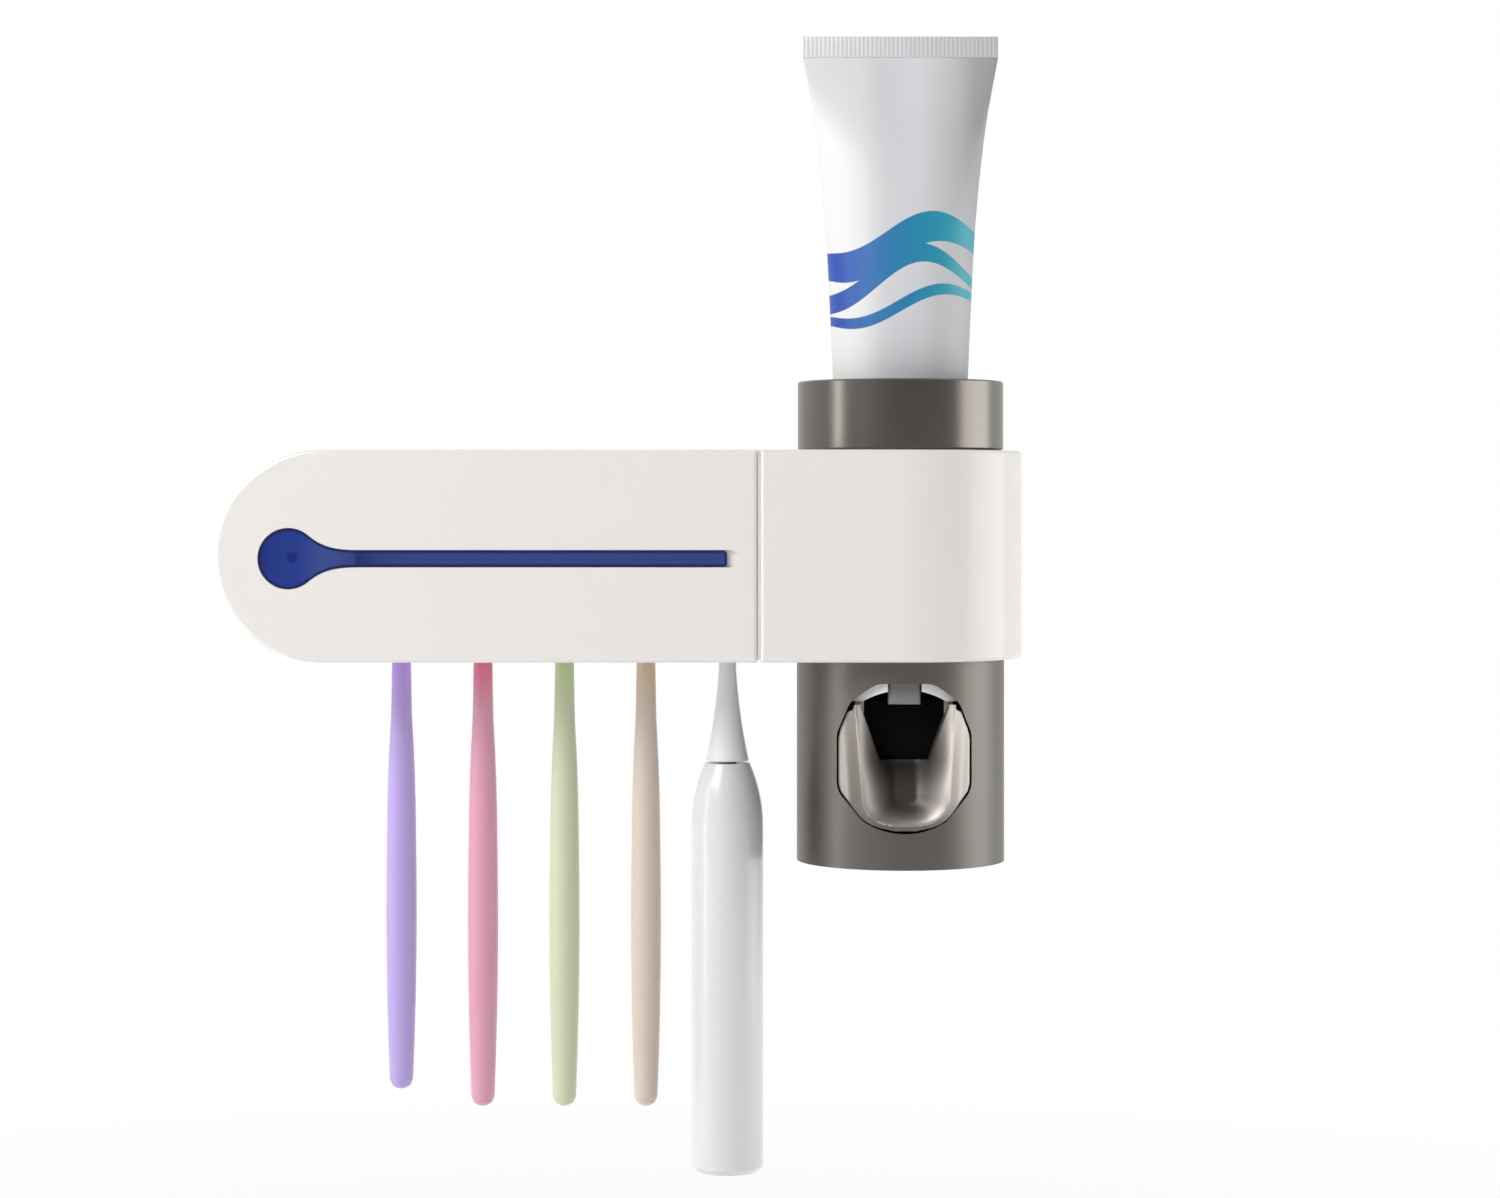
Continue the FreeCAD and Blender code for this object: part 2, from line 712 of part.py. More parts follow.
def lid_shell():
    """Flip-up front cover of the brush chamber, with half of the hinge."""
    outer = capsule_end(-left_reach, seam_x, case_half, front_y, lid_rear_y)
    rims = [e for e in outer.Edges if all(abs(v.Y - front_y) < fit_gap for v in e.Vertexes)]
    outer = outer.makeFillet(case_edge_round, rims)
    inner = capsule_end(-left_reach + lid_wall, seam_x - lid_wall, case_half - lid_wall,
                        front_y + case_wall, lid_rear_y + overrun)
    lid = outer.cut(inner)
    # Behind the axis, nothing but the hinge barrel stands above the axis
    lid = lid.cut(box(-left_reach - overrun, seam_x + overrun, hinge_y, lid_rear_y + overrun,
                      hinge_z, case_half + overrun))
    lid = lid.fuse(rod(hinge_radius, Vec(hinge_left_x, hinge_y, hinge_z),
                       Vec(hinge_right_x, hinge_y, hinge_z)))
    blocks = []
    for x in catch_xs:
        boss_rear_y = lid_rear_y + fit_gap - magnet_thickness
        boss_front_y = boss_rear_y - magnet_boss_depth
        blocks.append(box(x - magnet_boss_width / 2, x + magnet_boss_width / 2, boss_front_y, boss_rear_y,
                          -case_half + lid_wall, floor_z + magnet_boss_height))
    lid = lid.multiFuse(blocks)
    for x in knuckle_xs:
        lid = lid.cut(knuckle(x, hinge_radius + knuckle_clearance, knuckle_width + 2 * knuckle_gap))
        lid = lid.cut(knuckle(x, hinge_pin_radius, hinge_pin_length))
    recess_y = front_y + window_recess
    lid = lid.cut(window_prism(fit_gap, window_groove_end, front_y - overrun, recess_y, round_end=True))
    lid = lid.cut(window_prism(-window_ledge + fit_gap, window_stem_end, recess_y - overrun,
                               front_y + case_wall + overrun))
    return lid.removeSplitter()


def light_window():
    """Blue window that lies in the lid's recess."""
    recess_y = front_y + window_recess
    plate = window_prism(0, window_stem_end, recess_y - window_thickness, recess_y)
    tongue = window_prism(-window_ledge, window_stem_end, recess_y, front_y + case_wall)
    return plate.fuse(tongue).removeSplitter()


def hinge_pin(x):
    """Steel pin, pressed into the lid and free in the case's knuckle."""
    return knuckle(x, hinge_pin_radius, hinge_pin_length)


def lid_magnets():
    """Two disc magnets on the lid's lower edge."""
    rear_y = lid_rear_y + fit_gap
    z = floor_z + magnet_boss_height / 2
    return Part.makeCompound([rod(magnet_radius, Vec(x, rear_y - magnet_thickness, z), Vec(x, rear_y, z))
                              for x in catch_xs])


def catch_plates():
    """Steel plates on the rack's posts, opposite the magnets."""
    return Part.makeCompound([
        box(x - catch_width / 2, x + catch_width / 2, chamber_front_y, chamber_front_y + catch_thickness,
            rack_top_z, rack_top_z + catch_height)
        for x in catch_xs
    ])


def brush_rack():
    """Comb that the brushes hang in, lying on the case floor."""
    left = slot_xs[0] - rack_side_margin
    right = module_x - seat_gap
    comb = box(left, right, chamber_front_y, rack_rear_y, floor_z, rack_top_z)
    for x in slot_xs:
        half = slot_width / 2
        comb = comb.cut(box(x - half, x + half, chamber_front_y - overrun, brush_y, floor_z - overrun,
                            rack_top_z + overrun))
        comb = comb.cut(rod(half, Vec(x, brush_y, floor_z - overrun), Vec(x, brush_y, rack_top_z + overrun)))
    posts = []
    for x in catch_xs:
        front = chamber_front_y + catch_thickness
        posts.append(box(x - catch_width / 2, x + catch_width / 2, front, front + catch_post_depth,
                         rack_top_z, rack_top_z + catch_height))
    return comb.multiFuse(posts).removeSplitter()


def lamp_glass():
    """Glass of the ultraviolet lamp."""
    inside = lamp_cap_length / 2
    return rod(lamp_radius, Vec(lamp_left_x + inside, lamp_y, lamp_z),
               Vec(lamp_right_x - inside, lamp_y, lamp_z))


def lamp_cap(end_x, side):
    """Metal cap on one end of the lamp, with its contact pin; side is 1 on the right."""
    outer = rod(lamp_radius + lamp_cap_lip, Vec(end_x - side * lamp_cap_length, lamp_y, lamp_z),
                Vec(end_x, lamp_y, lamp_z))
    socket = rod(lamp_radius, Vec(end_x - side * (lamp_cap_length + overrun), lamp_y, lamp_z),
                 Vec(end_x - side * lamp_cap_length / 2, lamp_y, lamp_z))
    pin = rod(holder_pin_radius, Vec(end_x, lamp_y, lamp_z),
              Vec(end_x + side * holder_pin_length, lamp_y, lamp_z))
    return outer.cut(socket).fuse(pin)


def lamp_caps():
    """Both end caps of the lamp."""
    return Part.makeCompound([lamp_cap(lamp_left_x, -1), lamp_cap(lamp_right_x, 1)])


def lamp_holder(x0, x1):
    """Lamp socket block that stands on the chamber's rear wall."""
    front_face = lamp_y - lamp_radius
    block = box(x0, x1, front_face, chamber_wall_y, lamp_z - holder_width / 2, lamp_z + holder_width / 2)
    rounded = [e for e in block.Edges
               if abs(e.CenterOfMass.y - front_face) < fit_gap and e.Length < holder_width - overrun]
    block = block.makeFillet(holder_round, rounded)
    return block.cut(rod(holder_pin_radius, Vec(x0 - overrun, lamp_y, lamp_z),
                         Vec(x1 + overrun, lamp_y, lamp_z)))


def reflector():
    """Bent aluminium reflector between the lamp and the chamber's rear wall."""
    rear = chamber_wall_y
    half = reflector_height / 2
    outer = [
        Vec(0, rear - reflector_flange, lamp_z - half),
        Vec(0, rear, lamp_z - half + reflector_flange),
        Vec(0, rear, lamp_z + half - reflector_flange),
        Vec(0, rear - reflector_flange, lamp_z + half),
    ]
    slip = Vec(0, -reflector_thickness * math.sqrt(2), 0)
    outline = outer + [p + slip for p in reversed(outer)]
    left = lamp_left_x + fit_gap
    plate = prism([p + AXIS_X * left for p in outline], AXIS_X * (lamp_right_x - lamp_left_x - 2 * fit_gap))
    return plate


def lamp_grille():
    """Slotted guard in front of the lamp."""
    inset = case_wall + fit_gap
    panel = capsule_end(-left_reach + inset, module_x - fit_gap, case_half - inset, grille_y,
                        grille_y + grille_thickness)
    for n in range(grille_slot_count):
        x = grille_first_x + n * grille_pitch
        half = grille_slot_width / 2
        panel = panel.cut(box(x - half, x + half, grille_y - overrun, grille_y + grille_thickness + overrun,
                              lamp_z - grille_slot_height / 2, lamp_z + grille_slot_height / 2))
    return panel


def status_led():
    """Indicator lamp on the grille's closed left end."""
    return rod(led_radius, Vec(window_eye_x, grille_y - led_length, window_z),
               Vec(window_eye_x, grille_y, window_z))


def board_x():
    """Left face of the control board."""
    return module_x + case_wall + board_offset


def control_board():
    """Circuit board on four posts of the partition."""
    x = board_x()
    return box(x, x + board_thickness, board_rear_y - board_depth, board_rear_y,
               -board_height / 2, board_height / 2)


def board_components():
    """Driver parts soldered to the board."""
    x = board_x() + board_thickness
    low_z = -board_height / 2 + chip_size
    parts = []
    for n in range(2):
        y = board_rear_y - board_depth + chip_size + n * chip_pitch
        parts.append(box(x, x + chip_height, y - chip_size / 2, y + chip_size / 2,
                         low_z - chip_size / 2, low_z + chip_size / 2))
    coil = Vec(x, board_rear_y - chip_size * 2, low_z)
    parts.append(rod(coil_radius, coil, coil + AXIS_X * coil_height))
    return Part.makeCompound(parts)


def battery_cell():
    """Flat lithium cell stuck on the board."""
    x = board_x() + board_thickness
    y = board_rear_y - board_depth / 2
    top = board_height / 2
    cell = box(x, x + cell_thickness, y - cell_depth / 2, y + cell_depth / 2, top - cell_height, top)
    return cell.makeFillet(cell_round, [e for e in cell.Edges if e.CenterOfMass.x > x + overrun])


def charge_port():
    """Metal charging socket at the board's lower edge."""
    low = -case_half + fit_gap
    shell = port_profile(port_width, port_thickness, low, low + port_height)
    hollow = port_profile(port_width - 2 * port_wall, port_thickness - 2 * port_wall,
                          low - overrun, low + port_height - port_wall)
    tongue_half = port_width * port_tongue_share / 2
    tongue = box(port_middle_x() - port_wall / 2, port_middle_x() + port_wall / 2,
                 port_y - tongue_half, port_y + tongue_half, low + port_wall, low + port_height)
    return shell.cut(hollow).fuse(tongue)


def mouth_outline(inset):
    """Half of the drum's window in front view, from its top to its bottom, as (x, z) pairs."""
    height = mouth_top_z - mouth_bottom_z
    half = mouth_half_width
    return [
        (half * mouth_top_half_share - inset, mouth_top_z - inset),
        (half * mouth_upper_half_share - inset, mouth_top_z - height * mouth_upper_drop_share),
        (half - inset, mouth_top_z - height * mouth_side_top_share),
        (half - inset, mouth_top_z - height * mouth_side_low_share),
        (half * mouth_lower_half_share - inset, mouth_top_z - height * mouth_lower_drop_share + inset),
    ]


def mouth_prism(inset, y0, y1):
    """The drum's window as a prism between two depths."""
    right = mouth_outline(inset)
    left = [(-x, z) for x, z in reversed(right)]
    bottom = Vec(barrel_x, y0, mouth_bottom_z + inset)
    points = [Vec(barrel_x + x, y0, z) for x, z in right + left]
    edges = [Part.LineSegment(a, b).toShape() for a, b in zip(points[len(right):], points[len(right) + 1:])]
    edges += [Part.LineSegment(points[-1], points[0]).toShape()]
    edges += [Part.LineSegment(a, b).toShape() for a, b in zip(points, points[1:len(right)])]
    edges += [Part.Arc(points[len(right) - 1], bottom, points[len(right)]).toShape()]
    outline = Part.Wire(Part.__sortEdges__(edges))
    solid = Part.Face(outline).extrude(Vec(0, y1 - y0, 0))
    return solid.makeFillet(mouth_corner_round, depth_edges(solid))


def depth_edges(solid):
    """Edges that run along Y."""
    return [e for e in solid.Edges if e.Length > fit_gap
            and all(abs(v.X - e.Vertexes[0].X) + abs(v.Z - e.Vertexes[0].Z) < fit_gap for v in e.Vertexes)]


def squeezer_barrel():
    """Grey drum with the brush window and the shoulder that carries the neck."""
    skirt = ring(barrel_radius, barrel_bore, barrel_bottom_z, drum_top_z)
    shoulder = ring(barrel_radius, neck_radius + fit_gap, shoulder_low_z, drum_top_z)
    mouth = mouth_prism(0, drum_front_y - overrun, barrel_y)
    return skirt.fuse(shoulder).cut(mouth).removeSplitter()


def neck_sleeve():
    """Sleeve that runs up through the case, with the socket's ledge and the collar's lugs."""
    neck = ring(neck_radius, neck_bore, shoulder_low_z, neck_top_z)
    ledge = ring(neck_radius, neck_bore - socket_ledge, socket_low_z - socket_ledge_thickness, socket_low_z)
    lug_top = neck_top_z - lug_top_drop
    lugs = [sector(neck_radius + lug_reach, neck_bore, lug_top - lug_height, lug_top,
                   n * FULL_TURN / lug_count, lug_angle) for n in range(lug_count)]
    return neck.multiFuse([ledge] + lugs).removeSplitter()


def barrel_base():
    """Cap pushed into the drum's lower end."""
    radius = barrel_bore - fit_gap
    low = barrel_bottom_z + base_inset
    floor = drum(radius, low, low + base_thickness)
    rim = ring(radius, radius - base_rim_wall, low, low + base_thickness + base_rim_height)
    return fused([floor, rim])


def tube_collar():
    """Ring above the case that locks on the neck's lugs with a part turn."""
    low = case_half + seat_gap
    outer = drum(collar_radius, low, collar_top_z)
    outer = outer.makeChamfer(collar_edge_chamfer, [e for e in outer.Edges if e.isClosed()])
    bore = neck_radius + neck_play
    collar = outer.cut(drum(collar_mouth_radius, low - overrun, collar_top_z + overrun))
    collar = collar.cut(drum(bore, low - overrun, neck_top_z + seat_gap))
    lug_top = neck_top_z - lug_top_drop
    groove = drum(neck_radius + lug_reach + seat_gap, lug_top - lug_height - seat_gap, lug_top + seat_gap)
    entries = [sector(neck_radius + lug_reach + seat_gap, neck_bore, low - overrun, lug_top,
                      n * FULL_TURN / lug_count - collar_turn, entry_angle) for n in range(lug_count)]
    return collar.cut(groove.multiFuse(entries)).removeSplitter()


def lever_profile():
    """Side view of the lever's middle as a closed face, which is swept across its width."""
    top_front = Vec(0, drum_front_y + wing_thickness, lever_top_z)
    fall = lever_crest_z - lever_top_z
    brow = [Vec(0, drum_front_y - lever_crest_reach * out, lever_top_z + fall * down)
            for down, out in lever_brow_shares]
    crest = Vec(0, drum_front_y - lever_crest_reach, lever_crest_z)
    bottom_front = Vec(0, drum_front_y + wing_thickness, lever_bottom_z)
    jaw_down, jaw_out = lever_jaw_shares
    jaw = Vec(0, drum_front_y - lever_crest_reach * jaw_out, crest.z + (bottom_front.z - crest.z) * jaw_down)
    bottom_rear = Vec(0, bottom_front.y + 2 * wing_thickness, lever_bottom_z)
    rear_low = Vec(0, push_front_y, gate_sill_z - push_plate_thickness)
    rear_top = Vec(0, push_front_y, lever_top_z)
    front = Part.BSplineCurve()
    front.interpolate([top_front] + brow + [crest, jaw, bottom_front])
    edges = [
        front.toShape(),
        Part.LineSegment(bottom_front, bottom_rear).toShape(),
        Part.LineSegment(bottom_rear, rear_low).toShape(),
        Part.LineSegment(rear_low, rear_top).toShape(),
        Part.LineSegment(rear_top, top_front).toShape(),
    ]
    return Part.Face(Part.Wire(edges))


def taper_prism(top_half, low_half, top_z, low_z, y0, y1):
    """Prism with a tapered front view, centred on the barrel's axis."""
    corners = [(-top_half, top_z), (top_half, top_z), (low_half, low_z), (-low_half, low_z)]
    return prism([Vec(barrel_x + x, y0, z) for x, z in corners], Vec(0, y1 - y0, 0))


def chin_prism(y0, y1):
    """Front view of the scoop: straight tapered rails and a round chin."""
    top_left = Vec(barrel_x - lever_top_half, y0, lever_top_z)
    top_right = Vec(barrel_x + lever_top_half, y0, lever_top_z)
    low_left = Vec(barrel_x - lever_chin_half, y0, lever_chin_z)
    low_right = Vec(barrel_x + lever_chin_half, y0, lever_chin_z)
    outline = Part.Wire([
        Part.LineSegment(top_left, top_right).toShape(),
        Part.LineSegment(top_right, low_right).toShape(),
        Part.Arc(low_right, Vec(barrel_x, y0, lever_bottom_z), low_left).toShape(),
        Part.LineSegment(low_left, top_left).toShape(),
    ])
    solid = Part.Face(outline).extrude(Vec(0, y1 - y0, 0))
    chin = [e for e in depth_edges(solid) if e.CenterOfMass.z < lever_crest_z]
    return solid.makeFillet(lever_chin_round, chin)


def scoop_section(y, top_half, low_half, low_z, corner):
    """Front view of the scoop's hollow at one depth: a tapered U with two round corners."""
    top = Vec(barrel_x + top_half, y, lever_top_z + overrun)
    low = Vec(barrel_x + low_half, y, low_z)
    side = (top - low).normalize()
    half_angle = side.getAngle(Vec(-1, 0, 0)) / 2
    bisector = (side - AXIS_X).normalize()
    dip = corner * (1 / math.cos(half_angle) - math.tan(half_angle))
    start = low + side * corner
    middle = low + bisector * dip
    end = low - AXIS_X * corner

    def mirrored(point):
        return Vec(2 * barrel_x - point.x, point.y, point.z)

    return Part.Wire([
        Part.LineSegment(mirrored(top), top).toShape(),
        Part.LineSegment(top, start).toShape(),
        Part.Arc(start, middle, end).toShape(),
        Part.LineSegment(end, mirrored(end)).toShape(),
        Part.Arc(mirrored(end), mirrored(middle), mirrored(start)).toShape(),
        Part.LineSegment(mirrored(start), mirrored(top)).toShape(),
    ])


def scoop_hollow(front):
    """Hollow of the scoop: from the push plate's gate it widens and falls in a bowl to the lip."""
    rim_top = lever_top_half - rail_width
    near_y = front - overrun
    middle_y = (push_front_y + near_y) / 2
    sections = [
        scoop_section(push_front_y, gate_top_half, gate_bottom_half, gate_sill_z, sill_corner),
        scoop_section(middle_y, (gate_top_half + rim_top) / 2, scoop_middle_half, scoop_middle_z,
                      (sill_corner + scoop_corner) / 2),
        scoop_section(near_y, rim_top, scoop_lip_half, scoop_lip_z, scoop_corner),
    ]
    return Part.makeLoft(sections, True, False)


def squeeze_lever():
    """Scoop-shaped lever: two rails, a trough and chin, side wings and pivot arms."""
    front = drum_front_y - lever_crest_reach
    profile = lever_profile()
    profile.translate(Vec(barrel_x - lever_top_half, 0, 0))
    swept = profile.extrude(Vec(2 * lever_top_half, 0, 0))
    scoop = swept.common(chin_prism(front - overrun, push_front_y + overrun))
    face = min(scoop.Faces, key=lambda f: f.CenterOfMass.y)
    edge_run = [e for e in face.Edges if e.CenterOfMass.z < lever_top_z - fit_gap]
    scoop = scoop.makeFillet(rail_round, edge_run)
    scoop = scoop.cut(scoop_hollow(front))

    outer = barrel_radius - seat_gap
    shell = ring(outer, outer - wing_thickness, mouth_bottom_z + chin_gap, wing_top_z)
    wings = shell.common(mouth_prism(lever_gap, drum_front_y - overrun, barrel_y))
    wings = wings.cut(taper_prism(gate_top_half, lever_chin_half - rail_round, wing_top_z + overrun,
                                  lever_chin_z, front, barrel_y))

    arms = []
    for side in (-1, 1):
        outer_x = barrel_x + side * lever_top_half
        inner_x = barrel_x + side * gate_top_half
        pivot_out = Vec(outer_x, pivot_y, pivot_z)
        pivot_in = Vec(inner_x, pivot_y, pivot_z)
        web = box(min(outer_x, inner_x), max(outer_x, inner_x), pivot_y - pivot_boss_radius, push_front_y,
                  lever_top_z - pivot_boss_radius, pivot_z)
        arms += [rod(pivot_boss_radius, pivot_in, pivot_out), web]
    lever = scoop.multiFuse([wings] + arms)
    bore = rod(pivot_radius + running_gap, Vec(barrel_x - mouth_half_width, pivot_y, pivot_z),
               Vec(barrel_x + mouth_half_width, pivot_y, pivot_z))
    return lever.cut(bore).removeSplitter()


def push_plate():
    """Dark plate behind the lever's gate, which a toothbrush presses."""
    top = pivot_z - pivot_boss_radius - seat_gap
    return taper_prism(lever_top_half - seat_gap, gate_bottom_half + rail_round, top,
                       gate_sill_z - push_plate_thickness, push_front_y, push_rear_y)


def lever_pins():
    """Two stub pins that the lever swings on, fixed in the pump frame."""
    outer = lever_top_half + seat_gap + frame_lug_thickness
    return Part.makeCompound([
        rod(pivot_radius, Vec(barrel_x + side * gate_top_half, pivot_y, pivot_z),
            Vec(barrel_x + side * outer, pivot_y, pivot_z)) for side in (-1, 1)
    ])


def pump_frame():
    """Disc under the drum's shoulder with the lever's lugs and an arched apron behind the window."""
    radius = barrel_bore - fit_gap
    pieces = [drum(radius, frame_low_z, frame_top_z)]
    for side in (-1, 1):
        inner = lever_top_half + seat_gap
        outer = inner + frame_lug_thickness
        x0 = barrel_x + side * inner
        x1 = barrel_x + side * outer
        pieces.append(box(min(x0, x1), max(x0, x1), pivot_y - pivot_boss_radius, pivot_y + pivot_boss_radius,
                          pivot_z, frame_top_z))
        pieces.append(rod(pivot_boss_radius, Vec(x0, pivot_y, pivot_z), Vec(x1, pivot_y, pivot_z)))
    apron = ring(radius, radius - apron_thickness, apron_low_z, frame_low_z)
    half = lever_top_half + seat_gap + frame_lug_thickness
    apron = apron.common(box(barrel_x - half, barrel_x + half, drum_front_y, pivot_y, apron_low_z,
                             frame_low_z))
    arch = Vec(barrel_x, drum_front_y, apron_arch_z - apron_arch_radius)
    apron = apron.cut(rod(apron_arch_radius, arch, Vec(barrel_x, barrel_y, arch.z)))
    gap = nozzle_width / 2 + seat_gap
    apron = apron.cut(box(barrel_x - gap, barrel_x + gap, drum_front_y, barrel_y, apron_low_z, frame_low_z))
    frame = fused(pieces + [apron]).common(drum(radius, pivot_z - pivot_boss_radius, frame_top_z))
    for side in (-1, 1):
        frame = frame.cut(rod(pivot_radius, Vec(barrel_x, pivot_y, pivot_z),
                              Vec(barrel_x + side * mouth_half_width, pivot_y, pivot_z)))
    return frame.cut(drum(duct_radius, frame_low_z - overrun, frame_top_z + overrun))


def tube_socket():
    """Silicone seat in the neck that takes the paste tube's neck."""
    disc = drum(neck_bore - fit_gap, socket_low_z, socket_top_z)
    collar = drum(socket_collar_radius, socket_top_z, socket_top_z + socket_collar_height)
    collar_end_z = socket_top_z + socket_collar_height
    bore = drum(tube_neck_radius + seat_gap, socket_low_z + duct_bore, collar_end_z + overrun)
    return fused([disc, collar]).cut(bore).cut(drum(duct_bore, socket_low_z - overrun, socket_top_z))


def pump_block_low_z():
    """Underside of the pump block."""
    return frame_low_z - pump_block_height


def paste_duct():
    """Pipe that takes the paste from the socket down to the pump block."""
    return ring(duct_radius, duct_bore, frame_low_z, socket_low_z)


def pump_block():
    """Pump body under the frame: duct inlet above, bellows port in front."""
    half = pump_block_width / 2
    low = pump_block_low_z()
    block = box(barrel_x - half, barrel_x + half, pump_front_y, pump_front_y + pump_block_depth,
                low, frame_low_z)
    block = block.cut(drum(duct_bore, bellows_z, frame_low_z + overrun))
    return block.cut(rod(duct_bore, Vec(barrel_x, pump_front_y - overrun, bellows_z),
                         Vec(barrel_x, barrel_y, bellows_z)))


def pump_bellows():
    """Silicone bellows between the pump block and the pusher."""
    length = pump_front_y - bellows_front_y
    fold = length / bellows_folds
    points = [Vec(0, bellows_front_y, 0), Vec(bellows_waist, bellows_front_y, 0)]
    for n in range(bellows_folds):
        y = bellows_front_y + n * fold
        points += [Vec(bellows_radius, y + fold / 2, 0), Vec(bellows_waist, y + fold, 0)]
    points.append(Vec(0, pump_front_y, 0))
    face = Part.Face(Part.makePolygon(points + points[:1]))
    bellows = face.revolve(Vec(0, 0, 0), AXIS_Y, FULL_TURN)
    bellows.translate(Vec(barrel_x, 0, bellows_z))
    return bellows


def pump_pusher():
    """Disc with a half-round nose that the lever's plate presses."""
    flange = rod(pusher_radius, Vec(barrel_x, flange_y, bellows_z), Vec(barrel_x, bellows_front_y, bellows_z))
    nose_y = pusher_front_y + pusher_nose_radius
    nose = rod(pusher_nose_radius, Vec(barrel_x - pusher_nose_half, nose_y, bellows_z),
               Vec(barrel_x + pusher_nose_half, nose_y, bellows_z))
    web = box(barrel_x - pusher_nose_half, barrel_x + pusher_nose_half, nose_y, flange_y,
              bellows_z - pusher_nose_radius, bellows_z + pusher_nose_radius)
    return fused([flange, nose, web])


def return_spring():
    """Coil spring of square wire round the bellows."""
    first_y = bellows_front_y + spring_wire_half + fit_gap
    last_y = pump_front_y - spring_wire_half - fit_gap
    count = spring_turns * spring_steps
    inner = spring_radius - spring_wire_half
    outer = spring_radius + spring_wire_half
    sections = []
    for n in range(count + 1):
        angle = math.radians(FULL_TURN * n / spring_steps)
        out = Vec(math.cos(angle), 0, math.sin(angle))
        centre = Vec(barrel_x, first_y + (last_y - first_y) * n / count, bellows_z)
        rear = AXIS_Y * spring_wire_half
        corners = [centre + out * inner - rear, centre + out * outer - rear,
                   centre + out * outer + rear, centre + out * inner + rear]
        sections.append(Part.makePolygon(corners + corners[:1]))
    return Part.makeLoft(sections, True, True)


def paste_nozzle():
    """Silicone nozzle that hangs at the top of the drum's window."""
    top = frame_low_z
    front = barrel_y - barrel_bore + nozzle_front_gap
    half = nozzle_width / 2
    tip = box(barrel_x - half, barrel_x + half, front, front + nozzle_depth, top - nozzle_drop, top)
    arm_half = half * nozzle_arm_share
    arm = box(barrel_x - arm_half, barrel_x + arm_half, front + nozzle_depth / 2, pump_front_y,
              top - nozzle_arm_height, top)
    outlet = rod(nozzle_bore, Vec(barrel_x, front + nozzle_depth / 2, top - nozzle_drop - overrun),
                 Vec(barrel_x, front + nozzle_depth / 2, top - nozzle_arm_height))
    upright = [e for e in tip.Edges if abs(e.Vertexes[0].Z - e.Vertexes[-1].Z) > nozzle_drop / 2]
    return tip.makeFillet(nozzle_round, upright).fuse(arm).cut(outlet).removeSplitter()


def lens_wire(x, y, z, width, thickness):
    """Level outline of two arcs that meet at the tube's side folds, wider along X."""
    left = Vec(x - width / 2, y, z)
    right = Vec(x + width / 2, y, z)
    return Part.Wire([
        Part.Arc(left, Vec(x, y - thickness / 2, z), right).toShape(),
        Part.Arc(right, Vec(x, y + thickness / 2, z), left).toShape(),
    ])


def tube_thickness(width):
    """Depth of the tube where it is this wide, from its constant girth."""
    girth_radius = tube_flat_width / math.pi
    room = 2 * girth_radius ** 2 - (width / 2) ** 2
    return max(tube_crimp_thickness, 2 * math.sqrt(max(room, 0.0)))


def tube_sleeve():
    """Soft body of the paste tube with its flat crimp."""
    top = tube_crimp_top_z - tube_crimp_height
    wires = []
    for down, narrowed in tube_flank_shares:
        z = top + (tube_shoulder_z - top) * down
        width = tube_flat_width + (tube_round_width - tube_flat_width) * narrowed
        wires.append(lens_wire(barrel_x, barrel_y, z, width, tube_thickness(width)))
    body = Part.makeLoft(wires, True, True)
    half = tube_flat_width / 2
    crimp = box(barrel_x - half, barrel_x + half, barrel_y - tube_crimp_thickness / 2,
                barrel_y + tube_crimp_thickness / 2, top - tube_crimp_thickness, tube_crimp_top_z)
    return body.fuse(crimp).removeSplitter()


def tube_shoulder():
    """Hard shoulder and threaded neck of the paste tube."""
    low = tube_shoulder_z - tube_shoulder_height
    wide = lens_wire(barrel_x, barrel_y, tube_shoulder_z, tube_round_width,
                     tube_thickness(tube_round_width))
    narrow_width = tube_round_width * tube_neck_shoulder_share
    narrow = lens_wire(barrel_x, barrel_y, low, narrow_width, narrow_width * tube_neck_oval_share)
    cone = Part.makeLoft([narrow, wide], True, True)
    return cone.fuse(drum(tube_neck_radius, tube_bottom_z, low))


def tuft_block(x, y, foot_z, rows, columns):
    """Bristle tufts on a thin pad, pointing to the rear, from the named height up."""
    width = columns * tuft_pitch_x
    height = rows * tuft_pitch_z
    pieces = [box(x - width / 2, x + width / 2, y, y + tuft_pad, foot_z, foot_z + height)]
    for row in range(rows):
        z = foot_z + tuft_pitch_z / 2 + row * tuft_pitch_z
        for column in range(columns):
            tx = x - width / 2 + tuft_pitch_x / 2 + column * tuft_pitch_x
            pieces.append(box(tx - tuft_width / 2, tx + tuft_width / 2, y, y + tuft_pad + tuft_length,
                              z - tuft_height / 2, z + tuft_height / 2))
    return fused(pieces)


def head_plate(x, width, length):
    """Head plate that stands on the rack, with round upper corners."""
    low = rack_top_z + seat_gap
    half = head_thickness / 2
    plate = box(x - width / 2, x + width / 2, brush_y - half, brush_y + half, low, low + length)

    def corners(z):
        return [e for e in plate.Edges if all(abs(v.Z - z) < fit_gap for v in e.Vertexes)
                and abs(e.Vertexes[0].X - e.Vertexes[-1].X) < fit_gap]

    plate = plate.makeFillet(head_top_round, corners(low + length))
    plate = plate.makeFillet(head_foot_round, corners(low))
    faces = [f for f in plate.Faces if abs(abs(f.CenterOfMass.y - brush_y) - half) < fit_gap]
    return plate.makeChamfer(head_edge_chamfer, faces[0].Edges)


def arc_run(points):
    """Arcs end to end, each through three points: start, middle and the next start."""
    triples = zip(points[::2], points[1::2], points[2::2])
    return [Part.Arc(start, middle, end).toShape() for start, middle, end in triples]


def line_run(points):
    """Straight edges end to end."""
    return [Part.LineSegment(a, b).toShape() for a, b in zip(points, points[1:])]


